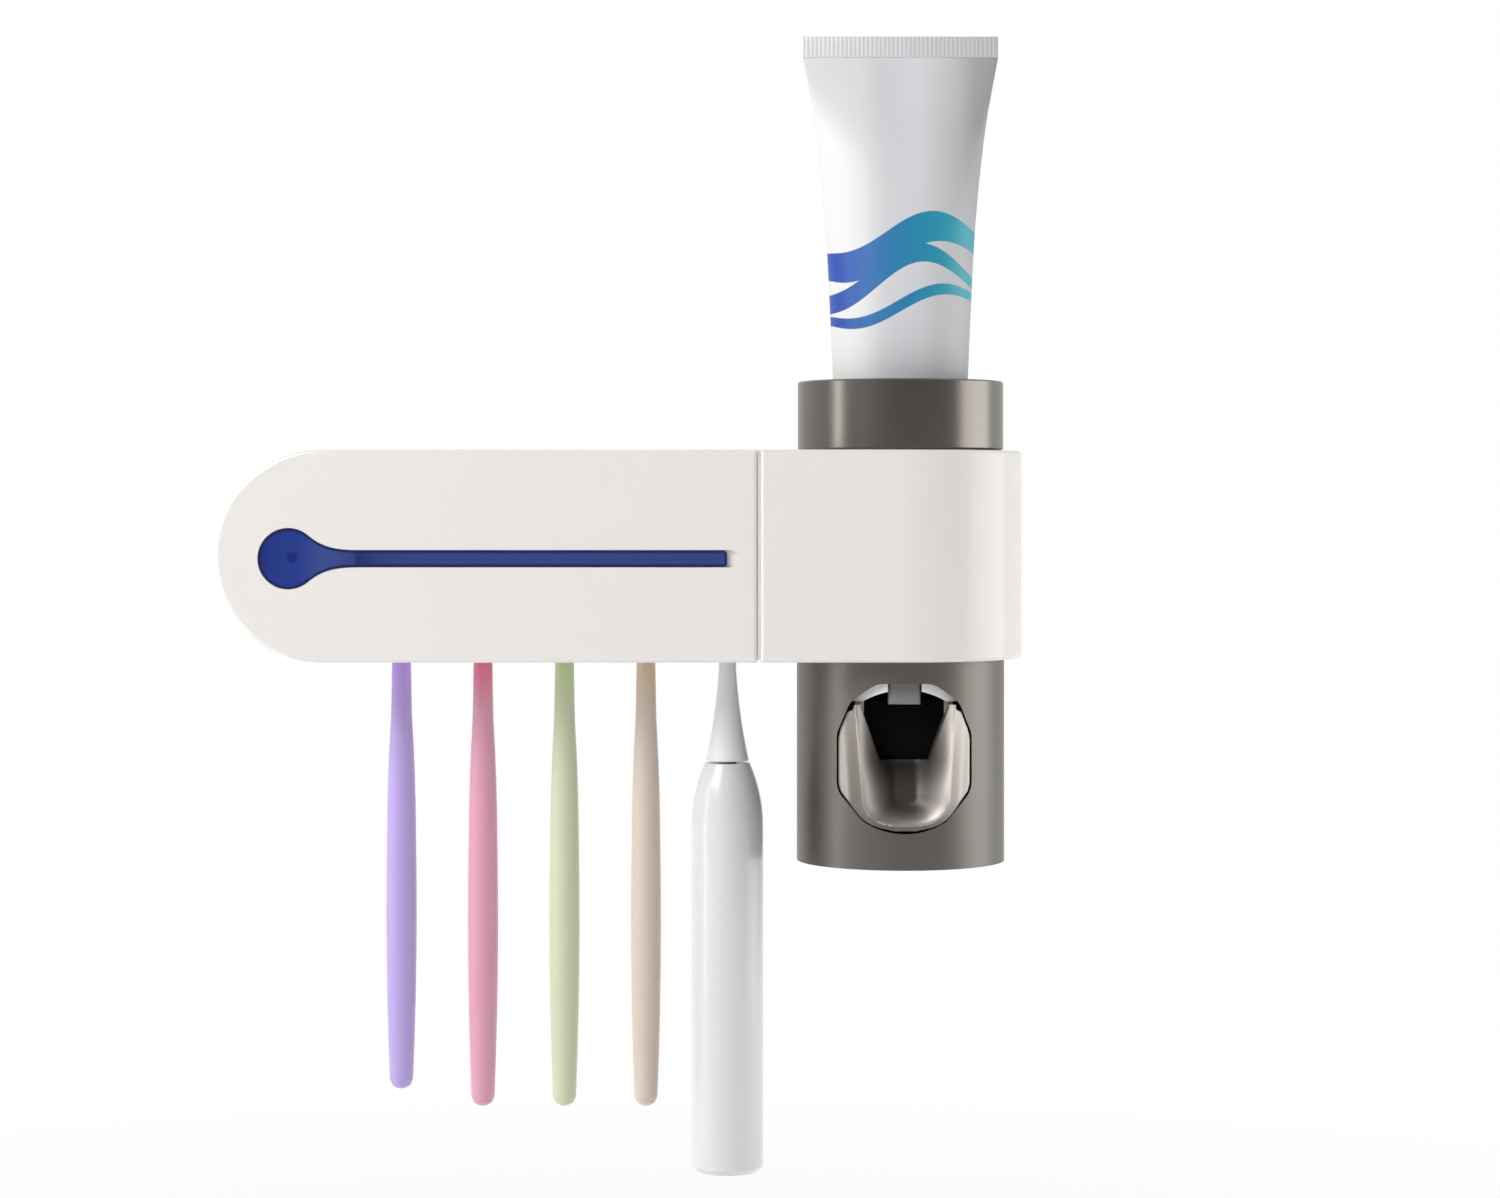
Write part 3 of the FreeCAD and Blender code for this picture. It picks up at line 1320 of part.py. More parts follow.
def turned(x, edges):
    """Solid turned about a brush's axis from a run of edges that starts on the axis."""
    foot = edges[0].Vertexes[0].Point
    rim = edges[-1].Vertexes[-1].Point
    top = Vec(0, 0, rim.z)
    closing = [Part.LineSegment(rim, top).toShape(), Part.LineSegment(top, foot).toShape()]
    body = Part.Face(Part.Wire(edges + closing)).revolve(Vec(0, 0, 0), AXIS_Z, FULL_TURN)
    body.translate(Vec(x, brush_y, 0))
    return body


def brush_handle(x, tip_z):
    """Handle, neck and head plate of a manual brush, hanging from its head."""
    run = rack_top_z + seat_gap + neck_overlap - tip_z
    tip = handle_width * tip_share
    end = [Vec(0, 0, tip_z)] + [Vec(tip * out, 0, tip_z + tip * up) for out, up in brush_tip_shares]
    flank = [Vec(handle_width * half, 0, tip_z + run * along) for along, half in brush_profile_shares]
    handle = turned(x, line_run(end) + arc_run(end[-1:] + flank))
    return handle.fuse(head_plate(x, head_width, head_length)).removeSplitter()


def brush_bristles(x):
    """Tufts of a manual brush."""
    foot = rack_top_z + head_length - tuft_rows * tuft_pitch_z - tuft_height
    return tuft_block(x, brush_y + head_thickness / 2, foot, tuft_rows, tuft_columns)


def power_handle():
    """Electric brush handle: straight barrel with a drawn-in shoulder."""
    radius = power_handle_radius
    foot = Vec(radius - power_bottom_bevel, 0, power_bottom_z)
    side = Vec(radius, 0, power_bottom_z + power_bottom_bevel)
    neck = Vec(power_seam_radius, 0, power_seam_z - power_seam_gap)
    shoulder = Vec(radius, 0, power_shoulder_z)
    drawn_in = (radius - neck.x) * power_shoulder_share
    shoulder_middle = Vec(radius - drawn_in, 0, (shoulder.z + neck.z) / 2)
    barrel = line_run([Vec(0, 0, power_bottom_z), foot, side, shoulder])
    return turned(power_x, barrel + arc_run([shoulder, shoulder_middle, neck]))


def power_head():
    """Plug-on head of the electric brush: cone, neck and small head plate."""
    foot = Vec(power_seam_radius * power_cone_share, 0, power_seam_z)
    top = Vec(power_neck_radius, 0, power_neck_z)
    waist = top.x + (foot.x - top.x) * power_waist_share
    end = Vec(power_neck_radius, 0, rack_top_z + neck_overlap)
    middle = Vec(waist, 0, (foot.z + top.z) / 2)
    cone = turned(power_x, line_run([Vec(0, 0, power_seam_z), foot]) + arc_run([foot, middle, top])
                  + line_run([top, end]))
    spigot = rod(power_neck_radius, Vec(power_x, brush_y, power_seam_z - power_seam_gap),
                 Vec(power_x, brush_y, power_neck_z))
    return fused([cone, spigot, head_plate(power_x, power_head_width, power_head_length)])


def power_bristles():
    """Tufts of the electric brush."""
    foot = rack_top_z + power_head_length - power_tuft_rows * tuft_pitch_z - tuft_height
    return tuft_block(power_x, brush_y + head_thickness / 2, foot, power_tuft_rows, tuft_columns)


def all_parts():
    """Every sub-part by its node name."""
    parts = {
        "wall_plate": wall_plate(),
        "adhesive_pad": adhesive_pad(),
        "case_shell": case_shell(),
        "back_cover": back_cover(),
        "back_cover_screws": back_cover_screws(),
        "lid_shell": lid_shell(),
        "light_window": light_window(),
        "hinge_pin_left": hinge_pin(knuckle_xs[0]),
        "hinge_pin_right": hinge_pin(knuckle_xs[1]),
        "lid_magnets": lid_magnets(),
        "catch_plates": catch_plates(),
        "brush_rack": brush_rack(),
        "lamp_glass": lamp_glass(),
        "lamp_caps": lamp_caps(),
        "lamp_holder_left": lamp_holder(lamp_left_x - holder_length, lamp_left_x),
        "lamp_holder_right": lamp_holder(lamp_right_x, lamp_right_x + holder_length),
        "lamp_reflector": reflector(),
        "lamp_grille": lamp_grille(),
        "status_led": status_led(),
        "control_board": control_board(),
        "board_components": board_components(),
        "battery_cell": battery_cell(),
        "charge_port": charge_port(),
        "squeezer_barrel": squeezer_barrel(),
        "neck_sleeve": neck_sleeve(),
        "barrel_base": barrel_base(),
        "tube_collar": tube_collar(),
        "pump_frame": pump_frame(),
        "tube_socket": tube_socket(),
        "paste_duct": paste_duct(),
        "pump_block": pump_block(),
        "pump_bellows": pump_bellows(),
        "pump_pusher": pump_pusher(),
        "return_spring": return_spring(),
        "paste_nozzle": paste_nozzle(),
        "squeeze_lever": squeeze_lever(),
        "push_plate": push_plate(),
        "lever_pins": lever_pins(),
        "tube_sleeve": tube_sleeve(),
        "tube_shoulder": tube_shoulder(),
        "power_handle": power_handle(),
        "power_head": power_head(),
        "power_bristles": power_bristles(),
    }
    for number, x in enumerate(brush_xs, start=1):
        tip_z = brush_tip_z + (first_brush_rise if number == 1 else 0)
        parts[f"brush_handle_{number}"] = brush_handle(x, tip_z)
        parts[f"brush_bristles_{number}"] = brush_bristles(x)
    return parts


os.makedirs("parts", exist_ok=True)
for name, shape in all_parts().items():
    shape.exportStep(os.path.join("parts", name + ".step"))
    print(name, len(shape.Solids), "solids", "valid" if shape.isValid() else "NOT VALID")
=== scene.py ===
import math

import bmesh
import bpy
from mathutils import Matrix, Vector


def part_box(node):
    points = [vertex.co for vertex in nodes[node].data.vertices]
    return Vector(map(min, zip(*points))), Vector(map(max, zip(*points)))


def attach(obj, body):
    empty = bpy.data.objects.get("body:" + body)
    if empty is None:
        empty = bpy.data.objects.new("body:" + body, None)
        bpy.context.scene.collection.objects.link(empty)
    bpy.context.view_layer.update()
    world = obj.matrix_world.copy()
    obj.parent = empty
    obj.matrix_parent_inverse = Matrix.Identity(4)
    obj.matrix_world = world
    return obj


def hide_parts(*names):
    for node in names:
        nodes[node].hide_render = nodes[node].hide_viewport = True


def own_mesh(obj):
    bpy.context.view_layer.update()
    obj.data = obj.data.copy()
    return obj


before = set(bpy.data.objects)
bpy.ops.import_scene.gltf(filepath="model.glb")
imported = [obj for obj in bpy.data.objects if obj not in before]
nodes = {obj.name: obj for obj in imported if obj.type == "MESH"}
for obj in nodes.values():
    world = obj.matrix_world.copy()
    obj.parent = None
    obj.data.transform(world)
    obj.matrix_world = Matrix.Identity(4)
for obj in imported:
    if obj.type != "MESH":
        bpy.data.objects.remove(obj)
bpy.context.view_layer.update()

mm = 0.001

# an edge is shaded smooth up to this angle between its faces, in degrees: simple pieces, then free forms
softAngle = 40
wideAngle = 50


# small helpers

def deselectAll():
    if bpy.context.object and bpy.context.object.mode != "OBJECT":
        bpy.ops.object.mode_set(mode="OBJECT")
    bpy.ops.object.select_all(action="DESELECT")


def linear(red, green, blue):
    # a colour as read on screen, turned into the linear values that shaders take
    def channel(v):
        v = v / 255
        return v / 12.92 if v <= 0.04045 else ((v + 0.055) / 1.055) ** 2.4
    return (channel(red), channel(green), channel(blue), 1.0)


def centreOf(name):
    low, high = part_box(name)
    return (Vector(low) + Vector(high)) / 2


def sizeOf(name):
    low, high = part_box(name)
    return Vector(high) - Vector(low)


def selectOnly(obj):
    deselectAll()
    obj.select_set(True)
    bpy.context.view_layer.objects.active = obj


def freezeInPlace(obj):
    # the piece keeps its place in its mesh, and its object sits at the origin
    selectOnly(obj)
    bpy.ops.object.transform_apply(location=True, rotation=True, scale=True)


def smoothByAngle(obj, degrees):
    selectOnly(obj)
    bpy.ops.object.shade_smooth_by_angle(angle=math.radians(degrees))


def applyModifier(obj, kind, **settings):
    selectOnly(obj)
    modifier = obj.modifiers.new(kind.title(), kind)
    for key, value in settings.items():
        setattr(modifier, key, value)
    bpy.ops.object.modifier_apply(modifier=modifier.name)


def bevelAll(obj, width, segments):
    # rounds every edge of a simple solid
    selectOnly(obj)
    bpy.ops.object.mode_set(mode="EDIT")
    bpy.ops.mesh.select_all(action="SELECT")
    bpy.ops.mesh.bevel(offset=width, segments=segments, affect="EDGES")
    bpy.ops.object.mode_set(mode="OBJECT")


def copyShape(source, name):
    # a new piece with its own copy of a mesh
    twin = bpy.data.objects.new(name, source.data.copy())
    bpy.context.scene.collection.objects.link(twin)
    twin.data.transform(source.matrix_world)
    return twin


def dress(material, *names):
    for name in names:
        mesh = nodes[name].data
        mesh.materials.clear()
        mesh.materials.append(material)


# shared shader groups

def newGroup(name, inputs, output):
    # a group of float sockets: what it takes, with defaults, and the one value it gives
    group = bpy.data.node_groups.new(name, "ShaderNodeTree")
    for label, default in inputs:
        socket = group.interface.new_socket(label, in_out="INPUT", socket_type="NodeSocketFloat")
        socket.default_value = default
    group.interface.new_socket(output, in_out="OUTPUT", socket_type="NodeSocketFloat")
    return group, group.nodes.new("NodeGroupInput"), group.nodes.new("NodeGroupOutput")


def link(tree, a, b):
    tree.links.new(a, b)


def mathNode(tree, operation, a, b=None):
    node = tree.nodes.new("ShaderNodeMath")
    node.operation = operation
    for index, value in enumerate((a, b)):
        if value is None:
            continue
        if isinstance(value, (int, float)):
            node.inputs[index].default_value = value
        else:
            link(tree, value, node.inputs[index])
    return node.outputs[0]


def mapRange(tree, value, low, high, kind="LINEAR", results=(0.0, 1.0)):
    # the first result at the low value and the second at the high one
    node = tree.nodes.new("ShaderNodeMapRange")
    node.interpolation_type = kind
    node.inputs["From Min"].default_value = low
    node.inputs["From Max"].default_value = high
    node.inputs["To Min"].default_value, node.inputs["To Max"].default_value = results
    link(tree, value, node.inputs["Value"])
    return node.outputs[0]


def objectAxes(tree):
    # X, Y and Z in the object's own space
    place = tree.nodes.new("ShaderNodeTexCoord")
    split = tree.nodes.new("ShaderNodeSeparateXYZ")
    link(tree, place.outputs["Object"], split.inputs[0])
    return split


def makeMouldedGrain():
    # fine orange peel of a moulded or sprayed skin, as a height
    group, start, end = newGroup("mouldedGrain", (("Scale", 900.0), ("Depth", 0.2)), "Height")
    place = group.nodes.new("ShaderNodeTexCoord")
    fine = group.nodes.new("ShaderNodeTexNoise")
    fine.inputs["Detail"].default_value = 3.0
    link(group, place.outputs["Object"], fine.inputs["Vector"])
    link(group, start.outputs["Scale"], fine.inputs["Scale"])
    link(group, mathNode(group, "MULTIPLY", fine.outputs[0], start.outputs["Depth"]), end.inputs["Height"])
    return group


def makeHeightFade():
    # 0 below the low height and 1 above the high one, along Z
    group, start, end = newGroup("heightFade", (("Low", 0.0), ("High", 0.1)), "Mask")
    ramp = group.nodes.new("ShaderNodeMapRange")
    ramp.interpolation_type = "SMOOTHSTEP"
    link(group, objectAxes(group).outputs["Z"], ramp.inputs["Value"])
    link(group, start.outputs["Low"], ramp.inputs["From Min"])
    link(group, start.outputs["High"], ramp.inputs["From Max"])
    link(group, ramp.outputs[0], end.inputs["Mask"])
    return group


waveShape = {
    # the band's width swells and shrinks at this share of its swing's pace, and never to nothing
    "swellPace": 0.5,
    "swellFloor": 1.35,
    "edgeBlur": 0.25 * mm,
}


def makeWaveBand():
    # a printed band that swings up and down as it runs along X
    takes = (("Middle X", 0.0), ("Height", 0.0), ("Swing", 0.006), ("Pace", 120.0), ("Phase", 0.0),
             ("Width", 0.003))
    group, start, end = newGroup("waveBand", takes, "Mask")
    split = objectAxes(group)
    across = mathNode(group, "SUBTRACT", split.outputs["X"], start.outputs["Middle X"])
    turned = mathNode(group, "MULTIPLY", across, start.outputs["Pace"])
    angle = mathNode(group, "ADD", turned, start.outputs["Phase"])
    swing = mathNode(group, "MULTIPLY", mathNode(group, "SINE", angle), start.outputs["Swing"])
    above = mathNode(group, "SUBTRACT", split.outputs["Z"], start.outputs["Height"])
    offset = mathNode(group, "SUBTRACT", above, swing)
    swell = mathNode(group, "COSINE", mathNode(group, "MULTIPLY", angle, waveShape["swellPace"]))
    taper = mathNode(group, "ADD", swell, waveShape["swellFloor"])
    reach = mathNode(group, "MULTIPLY", start.outputs["Width"], taper)
    edge = mathNode(group, "SUBTRACT", reach, mathNode(group, "ABSOLUTE", offset))
    link(group, mapRange(group, edge, 0.0, waveShape["edgeBlur"]), end.inputs["Mask"])
    return group


mouldedGrain = makeMouldedGrain()
heightFade = makeHeightFade()
waveBand = makeWaveBand()


def placeGroup(material, group, **values):
    node = material.node_tree.nodes.new("ShaderNodeGroup")
    node.node_tree = group
    for key, value in values.items():
        node.inputs[key.replace("_", " ")].default_value = value
    return node


def newMaterial(name, colour, roughness, **settings):
    material = bpy.data.materials.new(name)
    material.use_nodes = True
    shader = material.node_tree.nodes["Principled BSDF"]
    shader.inputs["Base Color"].default_value = colour
    shader.inputs["Roughness"].default_value = roughness
    for key, value in settings.items():
        shader.inputs[key.replace("_", " ")].default_value = value
    material.diffuse_color = colour
    return material


grainStrength = 0.25


def addGrain(material, scale, depth, distance):
    # bump from the shared grain
    tree = material.node_tree
    grain = placeGroup(material, mouldedGrain, Scale=scale, Depth=depth)
    bump = tree.nodes.new("ShaderNodeBump")
    bump.inputs["Distance"].default_value = distance
    bump.inputs["Strength"].default_value = grainStrength
    link(tree, grain.outputs["Height"], bump.inputs["Height"])
    link(tree, bump.outputs[0], tree.nodes["Principled BSDF"].inputs["Normal"])


def mixColours(tree, mask, first, second):
    # the first colour where the mask is 0, the second where it is 1
    mix = tree.nodes.new("ShaderNodeMix")
    mix.data_type = "RGBA"
    link(tree, mask, mix.inputs[0])
    for value, socket in ((first, mix.inputs[6]), (second, mix.inputs[7])):
        if isinstance(value, tuple):
            socket.default_value = value
        else:
            link(tree, value, socket)
    return mix.outputs[2]


# white case, lid and inner mouldings

caseLook = {
    "colour": linear(242, 238, 234),
    "roughness": 0.32,
    "innerColour": linear(226, 226, 226),
    "innerRoughness": 0.5,
    # pale lip of the module in the seam beside the lid
    "seamGap": 1.1 * mm,
    "lipClear": 0.12 * mm,
    "lipSetback": 0.9 * mm,
    "lipDepth": 8.0 * mm,
    "lipTopZ": 31.0 * mm,
    "lipLowZ": -32.2 * mm,
    "lipBevel": 0.15 * mm,
}


def buildSeamLip(material):
    low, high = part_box("lid_shell")
    left = high[0] + caseLook["lipClear"]
    right = high[0] + caseLook["seamGap"]
    front = low[1] + caseLook["lipSetback"]
    middleZ = (caseLook["lipTopZ"] + caseLook["lipLowZ"]) / 2
    size = (right - left, caseLook["lipDepth"], caseLook["lipTopZ"] - caseLook["lipLowZ"])
    deselectAll()
    bpy.ops.mesh.primitive_cube_add(size=1.0, location=((left + right) / 2, front + size[1] / 2, middleZ))
    lip = bpy.context.object
    lip.name = "seamLip"
    bpy.ops.transform.resize(value=size)
    freezeInPlace(lip)
    bevelAll(lip, caseLook["lipBevel"], 2)
    smoothByAngle(lip, softAngle)
    lip.data.materials.append(material)
    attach(lip, "case")


def finishCase():
    shell = newMaterial("glossWhiteShell", caseLook["colour"], caseLook["roughness"], Coat_Weight=0.25,
                        Coat_Roughness=0.12)
    addGrain(shell, scale=700.0, depth=0.15, distance=0.0002)
    inner = newMaterial("innerWhiteMoulding", caseLook["innerColour"], caseLook["innerRoughness"])
    addGrain(inner, scale=1200.0, depth=0.3, distance=0.0002)
    dress(shell, "case_shell", "lid_shell")
    dress(inner, "back_cover", "brush_rack", "lamp_grille", "lamp_holder_left", "lamp_holder_right",
          "wall_plate")
    foam = newMaterial("foamTape", linear(214, 212, 206), roughness=0.9)
    addGrain(foam, scale=2500.0, depth=0.8, distance=0.0005)
    dress(foam, "adhesive_pad")
    buildSeamLip(shell)
    print("case finished")


# blue light window

windowLook = {
    "roughness": 0.16,
    # stretch of X that the tones run over
    "start": -0.112,
    "end": -0.060,
    # place along X, from the eye's left edge, and colour: eye with painted shade at its left edge, lighter
    # flare, a painted shadow step where the stem starts, stem
    "toneAndShade": ((-0.1118, linear(20, 34, 100)), (-0.1085, linear(24, 50, 134)), (-0.0985, linear(29, 56, 142)),
              (-0.0920, linear(56, 75, 144)), (-0.0850, linear(52, 70, 138)), (-0.0818, linear(46, 65, 132)),
              (-0.0808, linear(20, 40, 108)), (-0.0740, linear(40, 60, 129)), (-0.0620, linear(46, 66, 136))),
    # the signal lamp shows through as a small dark spot: its place along X and Z
    "dot": (-0.1009, -0.0004),
    "dotRadius": 1.7 * mm,
    "dotColour": linear(8, 28, 122),
    # half the window's height, by the way from the eye's middle: nothing inside the eye, then the flare
    "flare": ((0.0055, 0.0), (0.0061, 0.0072), (0.0091, 0.0050), (0.0125, 0.0036), (0.0166, 0.0028),
              (0.0218, 0.00255)),
    "edgeShadeWidth": 0.9 * mm,
    # shares of a width or radius between which the dot and the painted edge shade fade out
    "dotFade": 1.4,
    "edgeShadeFade": 1.3,
    "innerFade": 0.6,
    "edgeShadeColour": linear(18, 30, 92),
}


def rampAlong(tree, value, start, end, stops, kind="LINEAR"):
    # colour or grey level that follows a value through its stops
    ramp = tree.nodes.new("ShaderNodeValToRGB")
    link(tree, mapRange(tree, value, start, end), ramp.inputs[0])
    ramp.color_ramp.interpolation = kind
    while len(ramp.color_ramp.elements) < len(stops):
        ramp.color_ramp.elements.new(1.0)
    for element, (place, colour) in zip(ramp.color_ramp.elements, stops):
        element.position = (place - start) / (end - start)
        element.color = colour
    return ramp.outputs[0]


def reachFrom(tree, split, x, z):
    # way from a point on the front
    across = mathNode(tree, "SUBTRACT", split.outputs["X"], x)
    up = mathNode(tree, "SUBTRACT", split.outputs["Z"], z)
    acrossSquare = mathNode(tree, "MULTIPLY", across, across)
    upSquare = mathNode(tree, "MULTIPLY", up, up)
    return mathNode(tree, "SQRT", mathNode(tree, "ADD", acrossSquare, upSquare))


def windowEdgeShade(tree, split):
    # 1 along the window's edge, where a painted shade darkens the border
    low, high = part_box("light_window")
    radius = (high[2] - low[2]) / 2
    middleX = low[0] + radius
    middleZ = (low[2] + high[2]) / 2
    flare = windowLook["flare"]
    stops = [(middleX + way, (half / radius,) * 3 + (1.0,)) for way, half in flare]
    grey = rampAlong(tree, split.outputs["X"], middleX, middleX + flare[-1][0], stops)
    fromMiddle = mathNode(tree, "ABSOLUTE", mathNode(tree, "SUBTRACT", split.outputs["Z"], middleZ))
    inStem = mathNode(tree, "SUBTRACT", mathNode(tree, "MULTIPLY", grey, radius), fromMiddle)
    inEye = mathNode(tree, "SUBTRACT", radius, reachFrom(tree, split, middleX, middleZ))
    fromEnd = mathNode(tree, "SUBTRACT", high[0], split.outputs["X"])
    depth = mathNode(tree, "MINIMUM", mathNode(tree, "MAXIMUM", inEye, inStem), fromEnd)
    width = windowLook["edgeShadeWidth"]
    outer, inner = width * windowLook["edgeShadeFade"], width * windowLook["innerFade"]
    return mapRange(tree, depth, outer, inner, "SMOOTHSTEP")


def finishWindow():
    tinted = newMaterial("tintedBlueWindow", windowLook["toneAndShade"][1][1], windowLook["roughness"],
                         Coat_Weight=0.6, Coat_Roughness=0.06)
    tree = tinted.node_tree
    split = objectAxes(tree)
    # the window's tones along X carry painted shade at the eye's left edge and a painted shadow where the
    # stem starts
    colour = rampAlong(tree, split.outputs["X"], windowLook["start"], windowLook["end"], windowLook["toneAndShade"])
    reach = reachFrom(tree, split, *windowLook["dot"])
    radius = windowLook["dotRadius"]
    outer, inner = radius * windowLook["dotFade"], radius * windowLook["innerFade"]
    spot = mapRange(tree, reach, outer, inner, "SMOOTHSTEP")
    colour = mixColours(tree, spot, colour, windowLook["dotColour"])
    # painted shade: the window's border is darkened all round
    colour = mixColours(tree, windowEdgeShade(tree, split), colour, windowLook["edgeShadeColour"])
    link(tree, colour, tree.nodes["Principled BSDF"].inputs["Base Color"])
    dress(tinted, "light_window")
    lens = newMaterial("signalLens", linear(60, 84, 180), roughness=0.2, Coat_Weight=0.6)
    dress(lens, "status_led")
    print("window finished")


# squeezer: barrel, collar, lever and pump

squeezerLook = {
    "colour": linear(114, 110, 105),
    "roughness": 0.40,
    "collarColour": linear(126, 121, 115),
    "collarRoughness": 0.28,
    "leverColour": linear(180, 174, 168),
    "hollowShadeColour": linear(84, 80, 77),
    "leverRoughness": 0.5,
}


def finishSqueezer():
    satin = newMaterial("satinNickelCoat", squeezerLook["colour"], squeezerLook["roughness"], Metallic=1.0)
    addGrain(satin, scale=1500.0, depth=0.12, distance=0.0001)
    polished = newMaterial("polishedNickelLever", squeezerLook["leverColour"], squeezerLook["leverRoughness"],
                           Metallic=1.0)
    # painted shade: darker towards the middle of the scoop
    tree = polished.node_tree
    hollow = tree.nodes.new("ShaderNodeAttribute")
    hollow.attribute_name = "hollow"
    tone = mixColours(tree, hollow.outputs["Fac"], squeezerLook["leverColour"], squeezerLook["hollowShadeColour"])
    link(tree, tone, tree.nodes["Principled BSDF"].inputs["Base Color"])
    dress(satin, "squeezer_barrel", "neck_sleeve")
    bright = newMaterial("brightNickelCollar", squeezerLook["collarColour"], squeezerLook["collarRoughness"],
                         Metallic=1.0)
    addGrain(bright, scale=1500.0, depth=0.10, distance=0.0001)
    dress(bright, "tube_collar")
    dress(polished, "squeeze_lever")
    dark = newMaterial("darkInnerMoulding", linear(24, 23, 24), roughness=0.6, Specular_IOR_Level=0.25)
    dress(dark, "barrel_base", "paste_duct", "pump_block", "pump_pusher")
    black = newMaterial("blackPushPlate", linear(6, 6, 7), roughness=0.75, Specular_IOR_Level=0.1)
    dress(black, "push_plate")
    # painted light: the pump frame is the inner moulding's white made lighter, against the shade inside the
    # barrel
    white = newMaterial("litPumpFramePaintedWhite", linear(250, 250, 250), roughness=0.5)
    addGrain(white, scale=1200.0, depth=0.3, distance=0.0002)
    dress(white, "pump_frame")
    silicone = newMaterial("greySilicone", linear(130, 131, 134), roughness=0.6, Sheen_Weight=0.2)
    dress(silicone, "tube_socket", "pump_bellows", "paste_nozzle")
    print("squeezer finished")


# squeeze lever: a smooth scoop between two rounded rails, with wings that follow the barrel

lever = {
    "columns": 96,
    "rows": 84,
    "topZ": -46.6,
    "bottomZ": -85.9,
    # half width of the wings at each height; lengths here are in mm, apart from the last
    "wings": ((-46.6, 15.9), (-48.3, 16.1), (-48.7, 17.6), (-52.0, 19.1), (-54.5, 20.1), (-57.5, 20.75),
              (-71.5, 20.75), (-74.0, 20.1), (-76.0, 18.6), (-79.0, 16.2), (-81.0, 14.5), (-82.6, 12.9),
              (-84.0, 10.6), (-85.1, 7.4), (-85.9, 3.6)),
    # how far the rails and the lip stand in front of the barrel
    "crest": ((-46.6, -1.6), (-54.2, -0.4), (-61.0, 1.3), (-67.9, 3.0), (-74.0, 4.3), (-78.0, 4.6),
              (-81.5, 4.2), (-84.2, 3.2), (-85.9, 1.4)),
    # the scoop's floor, measured the same way
    "floor": ((-46.6, -12.6), (-60.0, -12.4), (-64.4, -11.2), (-68.0, -8.0), (-71.5, -5.2), (-75.0, -3.4),
              (-79.0, -2.6), (-82.0, -2.2), (-85.9, -1.0)),
    # the rails' half spacing at the top and the bottom, and the curve that joins them under the bowl
    "railTop": 15.5,
    "railLow": 12.9,
    "roundZ": -75.0,
    "lipZ": -84.3,
    "squareness": 2.5,
    # the bowl's flat share, then the slopes of its rise: the first has to be the second plus 1
    "floorShare": 0.22,
    "riseStart": 2.55,
    "riseEnd": 1.55,
    # share of the bowl over which the painted shade fades in
    "hollowShare": 0.75,
    # width over which the rail falls to the wing
    "railFall": 4.4,
    # the opening over the push plate: half widths, lower end and depth of its walls, which take in
    # the points that lie within the two margins of it
    "gateTop": 14.2,
    "gateLow": 7.7,
    "gateLeast": 5.0,
    "gateZ": -64.4,
    "gateFloor": -13.0,
    "gateMarginX": 0.1,
    "gateMarginZ": 1.0,
    # where the gate and the rail's crest lie on the grid, from its middle at 0 to its side at 1, and
    # the shares of the wings' and the rail's half widths that they keep within
    "gateColumn": 0.34,
    "railColumn": 0.70,
    "railWithin": 0.95,
    "gateWithin": 0.92,
    "edgeRound": 0.6,
    "edgeDrop": 0.8,
    "thickness": 1.8,
    "wingInset": 0.15,
    "armFacets": 40,
    "armRadius": 3.2,
    "armDepth": 6.2,
    "armInner": 12.6,
    "armOuter": 15.3,
    "pivot": (11.8, -42.5),
    # how far the pump's pusher comes in, in metres
    "pumpTravel": 3.0 * mm,
}


def steadyAlong(points, place):
    # straight runs between points that fall along the first value
    for (p0, v0), (p1, v1) in zip(points, points[1:]):
        if place >= p1:
            return v0 + (v1 - v0) * (p0 - place) / (p0 - p1)
    return points[-1][1]


def smoothAlong(points, place):
    # a smooth run through the same kind of points
    last = len(points) - 1
    for index, ((p0, v0), (p1, v1)) in enumerate(zip(points, points[1:])):
        if place >= p1 or index == last - 1:
            slopes = []
            for here in (index, index + 1):
                before, after = points[max(here - 1, 0)], points[min(here + 1, last)]
                slopes.append((after[1] - before[1]) / (after[0] - before[0]))
            span = p1 - p0
            t = min(max((place - p0) / span, 0.0), 1.0)
            return (v0 * (2 * t ** 3 - 3 * t ** 2 + 1) + v1 * (3 * t ** 2 - 2 * t ** 3)
                    + slopes[0] * span * (t ** 3 - 2 * t ** 2 + t) + slopes[1] * span * (t ** 3 - t ** 2))


def easeIn(value):
    value = min(max(value, 0.0), 1.0)
    return value * value * (3 - 2 * value)


def railHalf(z):
    down = (lever["topZ"] - z) / (lever["topZ"] - lever["bottomZ"])
    return lever["railTop"] + (lever["railLow"] - lever["railTop"]) * down


def gateHalf(z):
    down = (lever["topZ"] - z) / (lever["topZ"] - lever["gateZ"])
    return max(lever["gateTop"] + (lever["gateLow"] - lever["gateTop"]) * down, lever["gateLeast"])


def railShare(x, z):
    # 0 in the middle of the scoop and 1 along the rails' crest and the lip
    power = lever["squareness"]
    low = max(lever["roundZ"] - z, 0.0) / (lever["roundZ"] - lever["lipZ"])
    return ((abs(x) / railHalf(z)) ** power + low ** power) ** (1 / power)


